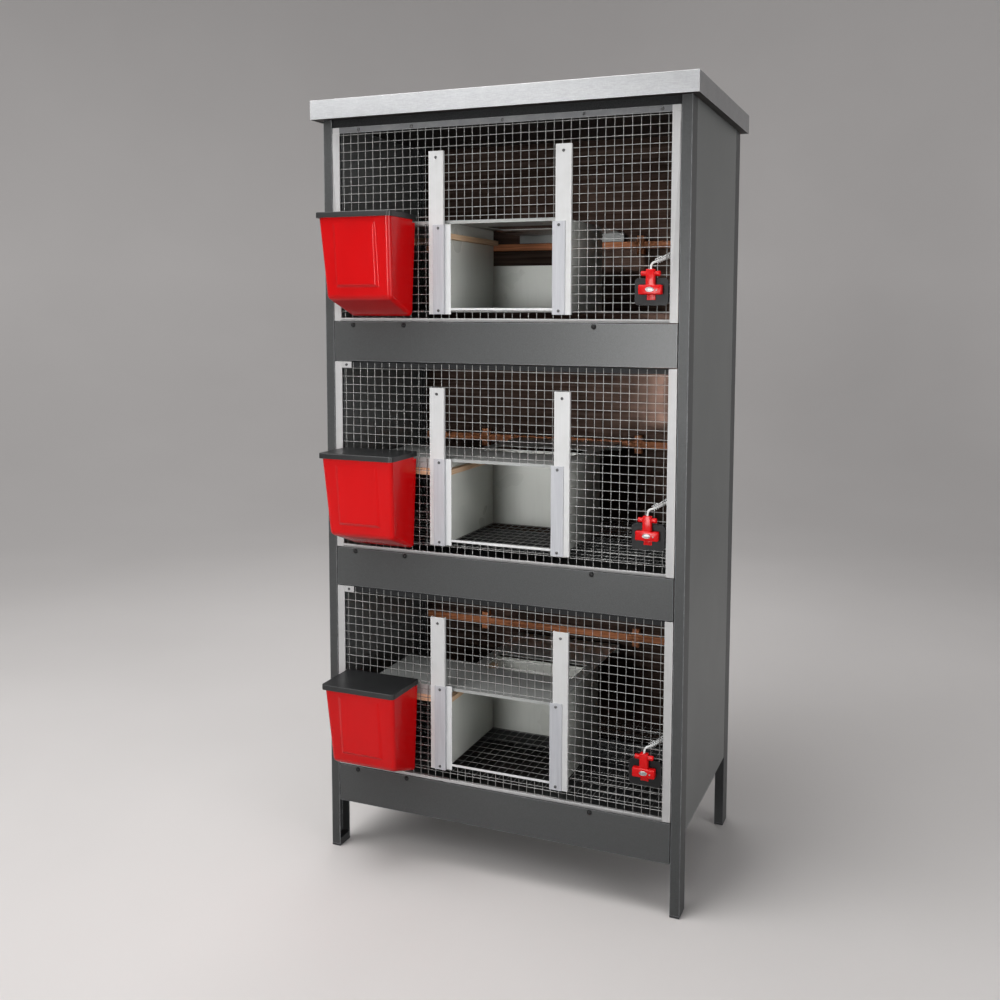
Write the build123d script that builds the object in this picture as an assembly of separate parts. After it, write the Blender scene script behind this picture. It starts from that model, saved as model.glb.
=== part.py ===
from build123d import *
import math
import os

# Three-tier pigeon cage: a sheet-metal cabinet on legs with, in each tier, a welded
# mesh front, a wire floor over a dropping drawer, a nest box with a top plate, a
# hopper feeder with a hinged lid and a valve drinker.
#
# Frame: +Z up, the front faces -Y, the origin is the middle of the base.
# Sub-parts are drawn with y = 0 on the front plane of the posts, and y runs inwards.

# Driving dimensions, in millimetres

# Cabinet
CABINET_WIDTH = 860.0
CABINET_DEPTH = 500.0
TIER_NAMES = ("lower", "middle", "upper")
TIER_PITCH = 530.0
LEG_CLEAR = 118.0
SHEET = 1.5
POST_WIDTH = 22.0
POST_DEPTH = 45.0
POST_WALL = 2.0
FOOT_HEIGHT = 5.0
FOOT_CHAMFER = 1.2
FOOT_PLUG = 14.0
SIDE_PANEL_BOTTOM = 180.0
SIDE_PANEL_RETURN = 14.0
SIDE_PANEL_REAR_GAP = 3.0
BACK_PANEL_THICKNESS = 6.0
BACK_PANEL_INSET = 10.0
PLAY = 0.3
CORNER_CUTS = (0.64, 0.25)

# Roof
ROOF_RIM = 43.0
ROOF_LIP = 2.0
ROOF_OVERHANG_SIDE = 19.0
ROOF_OVERHANG_FRONT = 26.0
ROOF_OVERHANG_REAR = 10.0
TOP_RAIL_HEIGHT = 19.0
TOP_RAIL_RECESS = 5.0
TOP_RAIL_DEPTH = 26.0

# Drawers and their runners
DRAWER_FRONT_HEIGHT = 90.0
DRAWER_SIDE_GAP = 2.0
DRAWER_FRONT_RETURN = 13.5
DRAWER_WALL_HEIGHT = 54.0
DRAWER_BASE_DROP = 78.0
DRAWER_REAR_GAP = 14.0
RUNNER_FLANGE = 14.0
RUNNER_START = 20.0
RUNNER_REAR_GAP = 22.0
KNOB_DIAMETER = 12.0
KNOB_HEIGHT = 4.5
KNOB_CHAMFER = 1.8
KNOB_SHANK = 5.0
KNOB_DROP = 7.0
KNOB_OFFSET = 226.0
KNOB_END_GAP = 49.0
KNOB_SIDES = 8

# Welded mesh
WIRE = 2.0
MESH_PITCH = 19.0
MESH_EDGE = 4.0
FLOOR_RISE = 22.0
FLOOR_ROW_PITCH = 30.0
FLOOR_FIRST_ROW = 14.0
FLOOR_FRONT = 8.0
FLOOR_REAR_GAP = 38.0

# Edge strips round the mesh
STRIP_WIDTH = 18.0
STRIP_DEPTH = 16.0
STRIP_WALL = 2.0
STRIP_POST_GAP = 1.5
SILL_STRIP_HEIGHT = 7.0
SILL_STRIP_GAP = 2.0
HEAD_STRIP_HEIGHT = 13.0
HEAD_RAIL_HEIGHT = 12.0
HEAD_RAIL_DEPTH = 24.0
CLIP_WIDTH = 25.0
CLIP_HEIGHT = 14.0

# Nest door rails and guides
FEEDER_RAIL_GAP = 33.5
RAIL_INNER_SPACING = 263.0
RAIL_WIDTH = 35.5
RAIL_DEPTH = 8.0
RAIL_BOTTOMS = {"lower": 33.0, "middle": 27.0, "upper": 18.0}
RAIL_HEIGHT = 357.0
GUIDE_HEIGHT = 197.0
GUIDE_PLATE = 25.0
GUIDE_LIP = 15.0
GUIDE_OVERHANG = 6.0
GUIDE_WALL = 2.0
SILL_BAR_HEIGHT = 5.0
SILL_BAR_RISE = 9.0

# Nest box, its top plate and the battens
NEST_WIDTH = 282.0
NEST_DEPTH = 280.0
NEST_FRONT = 8.0
NEST_TOP = 222.0
NEST_BACK_HEIGHTS = {"lower": 188.0, "middle": 188.0, "upper": 110.0}
PLATE_THICKNESS = 2.0
PLATE_LIP = 5.0
PLATE_REAR_LIP = 20.0
PLATE_WING = 183.0
PLATE_WING_DEPTH = 182.0
WING_FLANGE = 22.0
ENTRY_WIDTH = 228.0
ENTRY_FRONT = 170.0
ENTRY_DEPTH = 108.0
WING_BATTEN = (18.0, 16.0)
WING_BATTEN_AT_REAR = {"lower": False, "middle": False, "upper": True}
SIDE_BATTEN = (14.0, 12.0)
SIDE_BATTEN_DROP = 25.0
PERCH_THICKNESS = 20.0
PERCH_HEIGHT = 17.0
PERCH_TOPS = {"lower": 255.0, "middle": 228.0, "upper": 201.0}
PERCH_END_GAP = 2.0
CLEAT_WIDTH = 18.0
CLEAT_HEIGHT = 46.0
CLEAT_POSITIONS = (-232.0, 193.0)

# Hopper feeder
FEEDER_EDGE_GAP = 10.0
FEEDER_TOP = 236.0
FEEDER_TOP_WIDTH = 178.0
FEEDER_BOTTOM_WIDTH = 160.0
FEEDER_TOP_DEPTH = 119.0
FEEDER_BOTTOM_DEPTH = 98.0
FEEDER_FRONT_FOOT = 51.0
FEEDER_REAR_FOOT = 14.0
FEEDER_TOE = 8.0
FEEDER_WALL = 2.5
FEEDER_CORNER = 10.0
FEEDER_REAR_WALL_TOP = 221.0
FEEDER_PANEL_WIDTH = 106.0
FEEDER_PANEL_BEVEL = 6.0
FEEDER_PANEL_PROUD_TOP = 1.2
FEEDER_PANEL_PROUD_FOOT = 5.5
FEEDER_PANEL_TOP = 216.0
FEEDER_PANEL_BOTTOM = 76.0
TROUGH_RISE = 27.5
TROUGH_WIDTH = 110.0
TROUGH_REACH = 44.0
TROUGH_HEIGHT = 40.0
TROUGH_MOUTH = 56.0
LID_WIDTH = 187.0
LID_RIM = 12.0
LID_WALL = 2.5
LID_FRONT_OVERHANG = 5.0
LID_REAR_GAP = 5.5
LID_CORNER = 9.0
LID_TOP_CHAMFER = 1.2
LID_HEADROOM = 0.5
HINGE_SETBACK = 10.0
HINGE_DROP = 5.0
HINGE_PIN = 5.0
HINGE_CLEARANCE = 0.05
HINGE_PIN_REACH = 4.0
PIN_SIDES = 12

# Valve drinker, set up by whole cells of the mesh
DRINKER_CELLS = {"lower": 2, "middle": 1, "upper": 0}
DRINKER_EDGE_GAP = 3.0
CUP_PLATE_WIDTH = 71.0
CUP_PLATE_HEIGHT = 56.0
CUP_PLATE_BOTTOM = 38.0
CUP_PLATE_THICKNESS = 3.0
CUP_PLATE_CORNER = 8.0
BOWL_WIDTH = 58.0
BOWL_DEPTH = 44.0
BOWL_HEIGHT = 35.0
BOWL_RISE = 6.0
BOWL_WALL = 2.5
BOWL_CORNER = 8.0
BOWL_MESH_CLEAR = 3.0
VALVE_BAR_WIDTH = 49.0
VALVE_BAR_HEIGHT = 20.0
VALVE_BAR_DEPTH = 15.0
VALVE_BAR_CORNER = 2.5
VALVE_BAR_RISE = 22.0
VALVE_STEM_WIDTH = 18.0
VALVE_STEM_DEPTH = 13.0
VALVE_TOP_RISE = 74.0
VALVE_HANDLE_WIDTH = 41.0
VALVE_HANDLE_DIAMETER = 11.0
VALVE_SIDES = 8
VALVE_HANDLE_DROP = 9.0
VALVE_TAB_WIDTH = 18.0
VALVE_TAB_SLOT = 9.0
VALVE_TAB_DROP = 15.0
VALVE_TAB_ROOT = 5.0
VALVE_TAB_DEPTH = 7.0
NOZZLE_DIAMETER = 8.0
NOZZLE_REACH = 7.0
TRIGGER_PIN = 3.0
TRIGGER_CLEARANCE = 0.05
TRIGGER_WIDTH = 20.0
TRIGGER_LENGTH = 24.0
TRIGGER_THICKNESS = 2.5
TRIGGER_SETBACK = 14.0
TRIGGER_DROP = 5.0

# Water tube, one short hose from each valve into the right front post
TUBE_DIAMETER = 6.0
TUBE_SIDES = 6
TUBE_BEND_SHARE = 0.45
TUBE_ROUTE = ((12.0, 0.0, 0.0), (16.0, 13.0, 3.5), (21.0, 27.0, 19.5), (35.0, 48.0, 34.5))

# Values that follow from the driving dimensions

HALF_WIDTH = CABINET_WIDTH / 2
POST_INNER = HALF_WIDTH - POST_WIDTH
TIER_OPENING = TIER_PITCH - DRAWER_FRONT_HEIGHT
TIER_BASES = {
    name: LEG_CLEAR + DRAWER_FRONT_HEIGHT + i * TIER_PITCH for i, name in enumerate(TIER_NAMES)
}
TOP_TIER = TIER_NAMES[-1]
MESH_TOP = TIER_BASES[TOP_TIER] + TIER_OPENING
FRAME_TOP = MESH_TOP + TOP_RAIL_HEIGHT
ROOF_TOP = FRAME_TOP - ROOF_LIP + ROOF_RIM
MESH_FRONT = STRIP_WALL
MESH_BACK = MESH_FRONT + 2 * WIRE
MESH_FIRST_ROW = SILL_STRIP_GAP + STRIP_WALL + WIRE / 2
BACK_PANEL_FACE = CABINET_DEPTH - BACK_PANEL_INSET - BACK_PANEL_THICKNESS
STRIP_OUTER = POST_INNER - STRIP_POST_GAP
STRIP_INNER = STRIP_OUTER - STRIP_WIDTH
FEEDER_CENTRE = FEEDER_EDGE_GAP + LID_WIDTH / 2 - STRIP_INNER
DOOR_CENTRE = FEEDER_CENTRE + LID_WIDTH / 2 + FEEDER_RAIL_GAP + RAIL_WIDTH + RAIL_INNER_SPACING / 2
DRINKER_CENTRE = STRIP_INNER - DRINKER_EDGE_GAP - CUP_PLATE_WIDTH / 2
FLOOR_TOP = FLOOR_RISE + 2 * WIRE
NEST_REAR = NEST_FRONT + NEST_DEPTH
NEST_LEFT = DOOR_CENTRE - NEST_WIDTH / 2
NEST_RIGHT = DOOR_CENTRE + NEST_WIDTH / 2
PERCH_FRONT = BACK_PANEL_FACE - PERCH_THICKNESS
FEEDER_REAR = MESH_FRONT
FEEDER_LEAN = (FEEDER_TOP_DEPTH - FEEDER_BOTTOM_DEPTH) / (FEEDER_TOP - FEEDER_FRONT_FOOT)
FEEDER_REACH = FEEDER_TOP_DEPTH + LID_FRONT_OVERHANG - FEEDER_REAR
LID_TOP = FEEDER_TOP + LID_HEADROOM + LID_WALL
HINGE_HEIGHT = FEEDER_TOP - HINGE_DROP
HINGE_Y = FEEDER_REAR - HINGE_SETBACK - LID_WALL
CUP_FACE = MESH_FRONT - CUP_PLATE_THICKNESS
BOWL_BOTTOM = CUP_PLATE_BOTTOM + BOWL_RISE
BOWL_TOP = BOWL_BOTTOM + BOWL_HEIGHT
VALVE_BAR_BOTTOM = CUP_PLATE_BOTTOM + VALVE_BAR_RISE
VALVE_TOP = CUP_PLATE_BOTTOM + VALVE_TOP_RISE
TRIGGER_HEIGHT = BOWL_TOP - TRIGGER_DROP
TRIGGER_Y = MESH_FRONT + TRIGGER_SETBACK
FRONT_Y = (FEEDER_REACH - CABINET_DEPTH - ROOF_OVERHANG_REAR) / 2


# Shape helpers

def block(x0, x1, y0, y1, z0, z1):
    """A box between two corners."""
    return Pos((x0 + x1) / 2, (y0 + y1) / 2, (z0 + z1) / 2) * Box(x1 - x0, y1 - y0, z1 - z0)


def facet_x(x0, x1, y, z, diameter, sides):
    """A rod along X with flat sides, inside a circle of the diameter."""
    return extrude(Plane((x0, y, z), z_dir=(1, 0, 0)) * RegularPolygon(diameter / 2, sides), x1 - x0)


def hole_x(x0, x1, y, z, diameter, sides):
    """The tool for a hole along X with flat sides, in which a pin of the diameter turns."""
    section = RegularPolygon(diameter / 2, sides, major_radius=False)
    return extrude(Plane((x0, y, z), z_dir=(1, 0, 0)) * section, x1 - x0)


def facet_y(x, y0, y1, z, diameter, sides):
    """A rod along Y with flat sides, inside a circle of the diameter."""
    return extrude(Plane((x, y0, z), z_dir=(0, 1, 0)) * RegularPolygon(diameter / 2, sides), y1 - y0)


def prism_x(points, x0, x1):
    """A side profile of (y, z) points, extruded along X."""
    face = make_face(Polyline([(x0, y, z) for y, z in points], close=True))
    return extrude(face, x1 - x0, dir=(1, 0, 0))


def prism_y(points, y0, y1):
    """A front profile of (x, z) points, extruded along Y."""
    face = make_face(Polyline([(x, y0, z) for x, z in points], close=True))
    return extrude(face, y1 - y0, dir=(0, 1, 0))


def prism_z(points, z0, z1):
    """A plan profile of (x, y) points, extruded along Z."""
    face = make_face(Polyline([(x, y, z0) for x, y in points], close=True))
    return extrude(face, z1 - z0, dir=(0, 0, 1))


def soften(shape, axis, radius, picked):
    """Rounds off the edges along an axis that a test picks, in three flats."""
    for share in CORNER_CUTS:
        shape = chamfer(shape.edges().filter_by(axis).filter_by(picked), share * radius)
    return shape


def mirrored(shape):
    """The same shape on the other side of the cabinet's middle plane."""
    return mirror(shape, Plane.YZ)


def write(name, *shapes):
    """Writes one node, moved from the front plane to the part's own origin."""
    placed = []
    for shape in shapes:
        for solid in shape.solids():
            placed.append(Pos(0, FRONT_Y, 0) * solid)
    node = placed[0] if len(placed) == 1 else Compound(children=placed)
    export_step(node, os.path.join("parts", name + ".step"))


# Welded mesh

def spans(start, end, cuts):
    """What is left of a wire from start to end when the cuts are taken out."""
    left = [(start, end)]
    for low, high in cuts:
        kept = []
        for a, b in left:
            if high <= a or low >= b:
                kept.append((a, b))
                continue
            if low > a:
                kept.append((a, low))
            if high < b:
                kept.append((high, b))
        left = kept
    return left


def grid(first, last, pitch):
    """Positions from first up to last at one pitch."""
    count = int(math.floor((last - first) / pitch + 1e-6)) + 1
    return [first + i * pitch for i in range(count)]


def centred_grid(half_span, pitch):
    """Positions at one pitch, in step with the cabinet's middle, within half_span of it."""
    count = int(math.floor(half_span / pitch + 1e-6))
    return [i * pitch for i in range(-count, count + 1)]


def row_at_or_below(height):
    """Height of the last mesh row, above the tier's base, that isn't over a height."""
    return MESH_FIRST_ROW + math.floor((height - MESH_FIRST_ROW) / MESH_PITCH) * MESH_PITCH


def sill_bar_bottom(name):
    return RAIL_BOTTOMS[name] + SILL_BAR_RISE


def drinker_rise(name):
    return DRINKER_CELLS[name] * MESH_PITCH


def mesh_windows(name):
    """Openings cut in a front mesh, as (x0, x1, z0, z1) above the tier's base."""
    rail_side = RAIL_INNER_SPACING / 2
    door_low = sill_bar_bottom(name) + SILL_BAR_HEIGHT / 2
    door_high = NEST_TOP + PLATE_THICKNESS
    door = (DOOR_CENTRE - rail_side + GUIDE_LIP, DOOR_CENTRE + rail_side, door_low, door_high)
    trough = TROUGH_WIDTH / 2 + WIRE
    trough_low = row_at_or_below(TROUGH_RISE - WIRE) + WIRE / 2
    trough_high = TROUGH_RISE + TROUGH_MOUTH + WIRE
    feeder = (FEEDER_CENTRE - trough, FEEDER_CENTRE + trough, trough_low, trough_high)
    bowl = BOWL_WIDTH / 2 + BOWL_MESH_CLEAR
    rise = drinker_rise(name)
    drinker = (DRINKER_CENTRE - bowl, DRINKER_CENTRE + bowl,
               rise + BOWL_BOTTOM - BOWL_MESH_CLEAR, rise + BOWL_TOP + BOWL_MESH_CLEAR)
    return [door, feeder, drinker]


def front_mesh(name, base):
    """Horizontal wires in front, vertical wires welded behind them."""
    half = WIRE / 2
    windows = mesh_windows(name)
    wires = []
    for row in grid(MESH_FIRST_ROW, TIER_OPENING - MESH_EDGE, MESH_PITCH):
        cuts = [(w[0], w[1]) for w in windows if w[2] < row < w[3]]
        for x0, x1 in spans(-STRIP_OUTER + MESH_EDGE, STRIP_OUTER - MESH_EDGE, cuts):
            wires.append(block(x0, x1, MESH_FRONT, MESH_FRONT + WIRE,
                               base + row - half, base + row + half))
    bottom = SILL_STRIP_GAP + STRIP_WALL
    for x in centred_grid(STRIP_OUTER - MESH_EDGE, MESH_PITCH):
        cuts = [(w[2], w[3]) for w in windows if w[0] < x < w[1]]
        for z0, z1 in spans(bottom, TIER_OPENING - MESH_EDGE, cuts):
            wires.append(block(x - half, x + half, MESH_FRONT + WIRE, MESH_BACK,
                               base + z0, base + z1))
    return wires


def floor_mesh(base):
    """Front-to-back wires below, left-to-right wires welded on top."""
    half = WIRE / 2
    side = POST_INNER - STRIP_WALL - MESH_EDGE
    rear = CABINET_DEPTH - FLOOR_REAR_GAP
    low = base + FLOOR_RISE
    wires = []
    for x in centred_grid(side, MESH_PITCH):
        wires.append(block(x - half, x + half, FLOOR_FRONT, rear, low, low + WIRE))
    for y in grid(FLOOR_FIRST_ROW, rear - WIRE, FLOOR_ROW_PITCH):
        wires.append(block(-side, side, y - half, y + half, low + WIRE, base + FLOOR_TOP))
    return wires


# Cabinet frame

def post(front):
    """The right-hand post: a folded channel that opens towards the cabinet's middle."""
    y0 = 0 if front else CABINET_DEPTH - POST_DEPTH
    outer = block(POST_INNER, HALF_WIDTH, y0, y0 + POST_DEPTH, FOOT_HEIGHT, FRAME_TOP)
    inner = block(POST_INNER, HALF_WIDTH - POST_WALL, y0 + POST_WALL,
                  y0 + POST_DEPTH - POST_WALL, FOOT_HEIGHT, FRAME_TOP)
    return outer - inner


def foot(front):
    """A moulded foot under the right-hand post, with a plug inside its channel."""
    y0 = 0 if front else CABINET_DEPTH - POST_DEPTH
    pad = block(POST_INNER, HALF_WIDTH, y0, y0 + POST_DEPTH, 0, FOOT_HEIGHT)
    pad = chamfer(pad.edges().group_by(Axis.Z)[0], FOOT_CHAMFER)
    gap = POST_WALL + PLAY
    plug = block(POST_INNER + PLAY, HALF_WIDTH - gap, y0 + gap, y0 + POST_DEPTH - gap,
                 FOOT_HEIGHT, FOOT_HEIGHT + FOOT_PLUG)
    return pad + plug


def side_panel():
    """The right side panel: one sheet with folded front and rear edges."""
    y0 = POST_DEPTH
    y1 = CABINET_DEPTH - POST_DEPTH - SIDE_PANEL_REAR_GAP
    fold = HALF_WIDTH - SIDE_PANEL_RETURN
    skin = HALF_WIDTH - SHEET
    plan = [(fold, y0), (HALF_WIDTH, y0), (HALF_WIDTH, y1), (fold, y1), (fold, y1 - SHEET),
            (skin, y1 - SHEET), (skin, y0 + SHEET), (fold, y0 + SHEET)]
    return prism_z(plan, SIDE_PANEL_BOTTOM, FRAME_TOP)


def back_panel():
    side = HALF_WIDTH - POST_WALL
    bottom = TIER_BASES[TIER_NAMES[0]] - DRAWER_BASE_DROP
    return block(-side, side, BACK_PANEL_FACE, BACK_PANEL_FACE + BACK_PANEL_THICKNESS,
                 bottom, FRAME_TOP)


def roof_tray():
    """A folded tray turned upside down over the roof board."""
    x = HALF_WIDTH + ROOF_OVERHANG_SIDE
    y0 = -ROOF_OVERHANG_FRONT
    y1 = CABINET_DEPTH + ROOF_OVERHANG_REAR
    outer = block(-x, x, y0, y1, ROOF_TOP - ROOF_RIM, ROOF_TOP)
    inner = block(-x + SHEET, x - SHEET, y0 + SHEET, y1 - SHEET, ROOF_TOP - ROOF_RIM,
                  ROOF_TOP - SHEET)
    return outer - inner


def roof_board():
    x = HALF_WIDTH + ROOF_OVERHANG_SIDE - SHEET - PLAY
    y0 = SHEET + PLAY - ROOF_OVERHANG_FRONT
    y1 = CABINET_DEPTH + ROOF_OVERHANG_REAR - SHEET - PLAY
    return block(-x, x, y0, y1, FRAME_TOP, ROOF_TOP - SHEET)


def top_rail():
    """A channel across the front under the roof, set back behind the posts."""
    y0 = TOP_RAIL_RECESS
    y1 = TOP_RAIL_RECESS + TOP_RAIL_DEPTH
    low = MESH_TOP
    side = [(y0, low), (y1, low), (y1, low + POST_WALL), (y0 + POST_WALL, low + POST_WALL),
            (y0 + POST_WALL, FRAME_TOP - POST_WALL), (y1, FRAME_TOP - POST_WALL),
            (y1, FRAME_TOP), (y0, FRAME_TOP)]
    return prism_x(side, -POST_INNER, POST_INNER)


def head_rail(base):
    """An angle behind the top edge of a mesh that has a drawer above it."""
    y0 = MESH_BACK
    y1 = MESH_BACK + HEAD_RAIL_DEPTH
    high = base + TIER_OPENING - STRIP_WALL
    low = high - HEAD_RAIL_HEIGHT
    x = STRIP_OUTER - STRIP_WALL
    side = [(y0, low), (y0 + STRIP_WALL, low), (y0 + STRIP_WALL, high - STRIP_WALL),
            (y1, high - STRIP_WALL), (y1, high), (y0, high)]
    return prism_x(side, -x, x)


def runner(base):
    """The right runner: its lower flange carries the drawer, its upper one the wire floor."""
    web = POST_INNER - STRIP_WALL
    flange = web - RUNNER_FLANGE
    low = base - DRAWER_BASE_DROP - STRIP_WALL
    high = base + FLOOR_RISE
    section = [(flange, low), (POST_INNER, low), (POST_INNER, high), (flange, high),
               (flange, high - STRIP_WALL), (web, high - STRIP_WALL),
               (web, low + STRIP_WALL), (flange, low + STRIP_WALL)]
    return prism_y(section, RUNNER_START, CABINET_DEPTH - RUNNER_REAR_GAP)


# Mesh front: strips, clip, rails and guides

def side_strip(base, top):
    """The right edge strip: an angle whose front leg covers the ends of the wires."""
    x1 = STRIP_OUTER
    plan = [(STRIP_INNER, 0), (x1, 0), (x1, STRIP_WALL + STRIP_DEPTH),
            (x1 - STRIP_WALL, STRIP_WALL + STRIP_DEPTH), (x1 - STRIP_WALL, STRIP_WALL),
            (STRIP_INNER, STRIP_WALL)]
    return prism_z(plan, base + SILL_STRIP_GAP, top)


def sill_strip(base):
    """The angle under the mesh, between the side strips."""
    low = base + SILL_STRIP_GAP
    y1 = STRIP_WALL + STRIP_DEPTH
    side = [(0, low), (y1, low), (y1, low + STRIP_WALL), (STRIP_WALL, low + STRIP_WALL),
            (STRIP_WALL, low + SILL_STRIP_HEIGHT), (0, low + SILL_STRIP_HEIGHT)]
    return prism_x(side, -STRIP_INNER, STRIP_INNER)


def head_strip():
    """The flat strip that holds the top mesh under the roof."""
    low = MESH_TOP - HEAD_STRIP_HEIGHT
    return block(-STRIP_OUTER, STRIP_OUTER, 0, STRIP_WALL, low, MESH_TOP)


def corner_clip(base):
    """A small plate over the top left corner of a mesh."""
    top = base + TIER_OPENING - STRIP_WALL
    x0 = -STRIP_INNER + PLAY
    return block(x0, x0 + CLIP_WIDTH, 0, STRIP_WALL, top - CLIP_HEIGHT, top)


def front_strips(name, base):
    if name == TOP_TIER:
        top = MESH_TOP - HEAD_STRIP_HEIGHT
        closing = head_strip()
    else:
        top = base + TIER_OPENING - STRIP_WALL
        closing = corner_clip(base)
    right = side_strip(base, top)
    return [right, mirrored(right), sill_strip(base), closing]


def rail_profile(inner, outer):
    """Plan of a folded rail, open towards the mesh."""
    y0 = MESH_FRONT - RAIL_DEPTH
    step = STRIP_WALL if outer > inner else -STRIP_WALL
    return [(inner, y0), (outer, y0), (outer, MESH_FRONT), (outer - step, MESH_FRONT),
            (outer - step, y0 + STRIP_WALL), (inner + step, y0 + STRIP_WALL),
            (inner + step, MESH_FRONT), (inner, MESH_FRONT)]


def door_rails(name, base):
    """Two upright rails on the mesh, either side of the nest opening."""
    side = RAIL_INNER_SPACING / 2
    z0 = base + RAIL_BOTTOMS[name]
    rails = []
    for sign in (-1, 1):
        inner = DOOR_CENTRE + sign * side
        outer = inner + sign * RAIL_WIDTH
        rails.append(prism_z(rail_profile(inner, outer), z0, z0 + RAIL_HEIGHT))
    return rails


def door_guides(name, base):
    """Slide guides on the lower half of the rails, and the sill bar between them."""
    side = RAIL_INNER_SPACING / 2
    z0 = base + RAIL_BOTTOMS[name]
    z1 = z0 + GUIDE_HEIGHT
    face = MESH_FRONT - RAIL_DEPTH - GUIDE_WALL
    left = DOOR_CENTRE - side
    left_plan = [(left - GUIDE_PLATE, face), (left + GUIDE_WALL, face),
                 (left + GUIDE_WALL, MESH_FRONT - GUIDE_WALL),
                 (left + GUIDE_LIP, MESH_FRONT - GUIDE_WALL), (left + GUIDE_LIP, MESH_FRONT),
                 (left, MESH_FRONT), (left, face + GUIDE_WALL),
                 (left - GUIDE_PLATE, face + GUIDE_WALL)]
    right = DOOR_CENTRE + side
    lip = right - GUIDE_OVERHANG
    right_plan = [(right + GUIDE_PLATE - GUIDE_WALL, face), (lip, face), (lip, MESH_FRONT),
                  (lip + GUIDE_WALL, MESH_FRONT), (lip + GUIDE_WALL, face + GUIDE_WALL),
                  (right + GUIDE_PLATE - GUIDE_WALL, face + GUIDE_WALL)]
    low = base + sill_bar_bottom(name)
    sill = block(left + GUIDE_LIP, lip, MESH_FRONT - GUIDE_WALL, MESH_FRONT, low,
                 low + SILL_BAR_HEIGHT)
    return [prism_z(left_plan, z0, z1), prism_z(right_plan, z0, z1), sill]


# Nest box and battens

def nest_box(name, base):
    """One folded sheet: two side walls and a back wall, standing on the wire floor."""
    low = base + FLOOR_TOP
    top = base + NEST_TOP
    front = NEST_FRONT + PLATE_THICKNESS
    walls = block(NEST_LEFT, NEST_LEFT + SHEET, front, NEST_REAR, low, top)
    walls += block(NEST_RIGHT - SHEET, NEST_RIGHT, front, NEST_REAR, low, top)
    walls += block(NEST_LEFT, NEST_RIGHT, NEST_REAR - SHEET, NEST_REAR, low,
                   low + NEST_BACK_HEIGHTS[name])
    return walls


def wing_edge(name, depth):
    """Where the wing's flange or batten of one depth lies, at its front or its rear edge."""
    y0 = NEST_FRONT
    if WING_BATTEN_AT_REAR[name]:
        y0 = NEST_FRONT + PLATE_WING_DEPTH - depth
    return y0, y0 + depth


def nest_top(name, base):
    """The plate over the nest, with an entry hole, folded lips and a landing wing."""
    z0 = base + NEST_TOP
    z1 = z0 + PLATE_THICKNESS
    wing = NEST_LEFT - PLATE_WING
    plate = block(NEST_LEFT, NEST_RIGHT, NEST_FRONT, PERCH_FRONT, z0, z1)
    plate += block(wing, NEST_LEFT, NEST_FRONT, NEST_FRONT + PLATE_WING_DEPTH, z0, z1)
    plate += block(wing, NEST_RIGHT, NEST_FRONT, NEST_FRONT + PLATE_THICKNESS, z0 - PLATE_LIP, z0)
    plate += block(NEST_LEFT, NEST_RIGHT, PERCH_FRONT - PLATE_THICKNESS, PERCH_FRONT,
                   z0 - PLATE_REAR_LIP, z0)
    plate += block(wing, NEST_LEFT, *wing_edge(name, PLATE_THICKNESS), z0 - WING_FLANGE, z0)
    entry = block(DOOR_CENTRE - ENTRY_WIDTH / 2, DOOR_CENTRE + ENTRY_WIDTH / 2, ENTRY_FRONT,
                  ENTRY_FRONT + ENTRY_DEPTH, z0 - SHEET, z1 + SHEET)
    return plate - entry


def battens(name, base):
    """The rear perch between its upright cleats, and the battens of the nest's left side."""
    top = base + PERCH_TOPS[name]
    side = POST_INNER - PERCH_END_GAP
    cleats = [(x - CLEAT_WIDTH / 2, x + CLEAT_WIDTH / 2) for x in CLEAT_POSITIONS]
    middle = top - PERCH_HEIGHT / 2
    pieces = []
    for x0, x1 in spans(-side, side, cleats):
        pieces.append(block(x0, x1, PERCH_FRONT, BACK_PANEL_FACE, top - PERCH_HEIGHT, top))
    for x0, x1 in cleats:
        pieces.append(block(x0, x1, PERCH_FRONT, BACK_PANEL_FACE, middle - CLEAT_HEIGHT / 2,
                            middle + CLEAT_HEIGHT / 2))
    depth, tall = WING_BATTEN
    high = base + NEST_TOP - WING_FLANGE
    pieces.append(block(NEST_LEFT - PLATE_WING, NEST_LEFT, *wing_edge(name, depth), high - tall,
                        high))
    depth, tall = SIDE_BATTEN
    high = base + NEST_TOP - SIDE_BATTEN_DROP
    wall = NEST_LEFT + SHEET
    pieces.append(block(wall, wall + depth, NEST_FRONT + PLATE_THICKNESS, NEST_REAR - SHEET,
                        high - tall, high))
    return pieces


# Drawer

def drawer(base):
    """A folded dropping tray behind a deep folded front."""
    half = POST_INNER - DRAWER_SIDE_GAP
    low = base - DRAWER_FRONT_HEIGHT
    front = block(-half, half, 0, DRAWER_FRONT_RETURN, low, base)
    front -= block(-half + SHEET, half - SHEET, SHEET, DRAWER_FRONT_RETURN, low + SHEET,
                   base - SHEET)
    tray_half = POST_INNER - STRIP_WALL - DRAWER_SIDE_GAP
    floor = base - DRAWER_BASE_DROP + PLAY
    rear = CABINET_DEPTH - POST_DEPTH - DRAWER_REAR_GAP
    y0 = SHEET
    tray = block(-tray_half, tray_half, y0, rear, floor, floor + DRAWER_WALL_HEIGHT)
    tray -= block(-tray_half + SHEET, tray_half - SHEET, y0 + SHEET, rear - SHEET,
                  floor + SHEET, floor + DRAWER_WALL_HEIGHT)
    body = front + tray
    hole = KNOB_SHANK + 2 * PLAY
    for x in knob_positions():
        body -= facet_y(x, -SHEET, 3 * SHEET, base - KNOB_DROP, hole, KNOB_SIDES)
    return body


def knob_positions():
    end = POST_INNER - DRAWER_SIDE_GAP - KNOB_END_GAP
    return (-end, -KNOB_OFFSET, KNOB_OFFSET)


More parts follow.
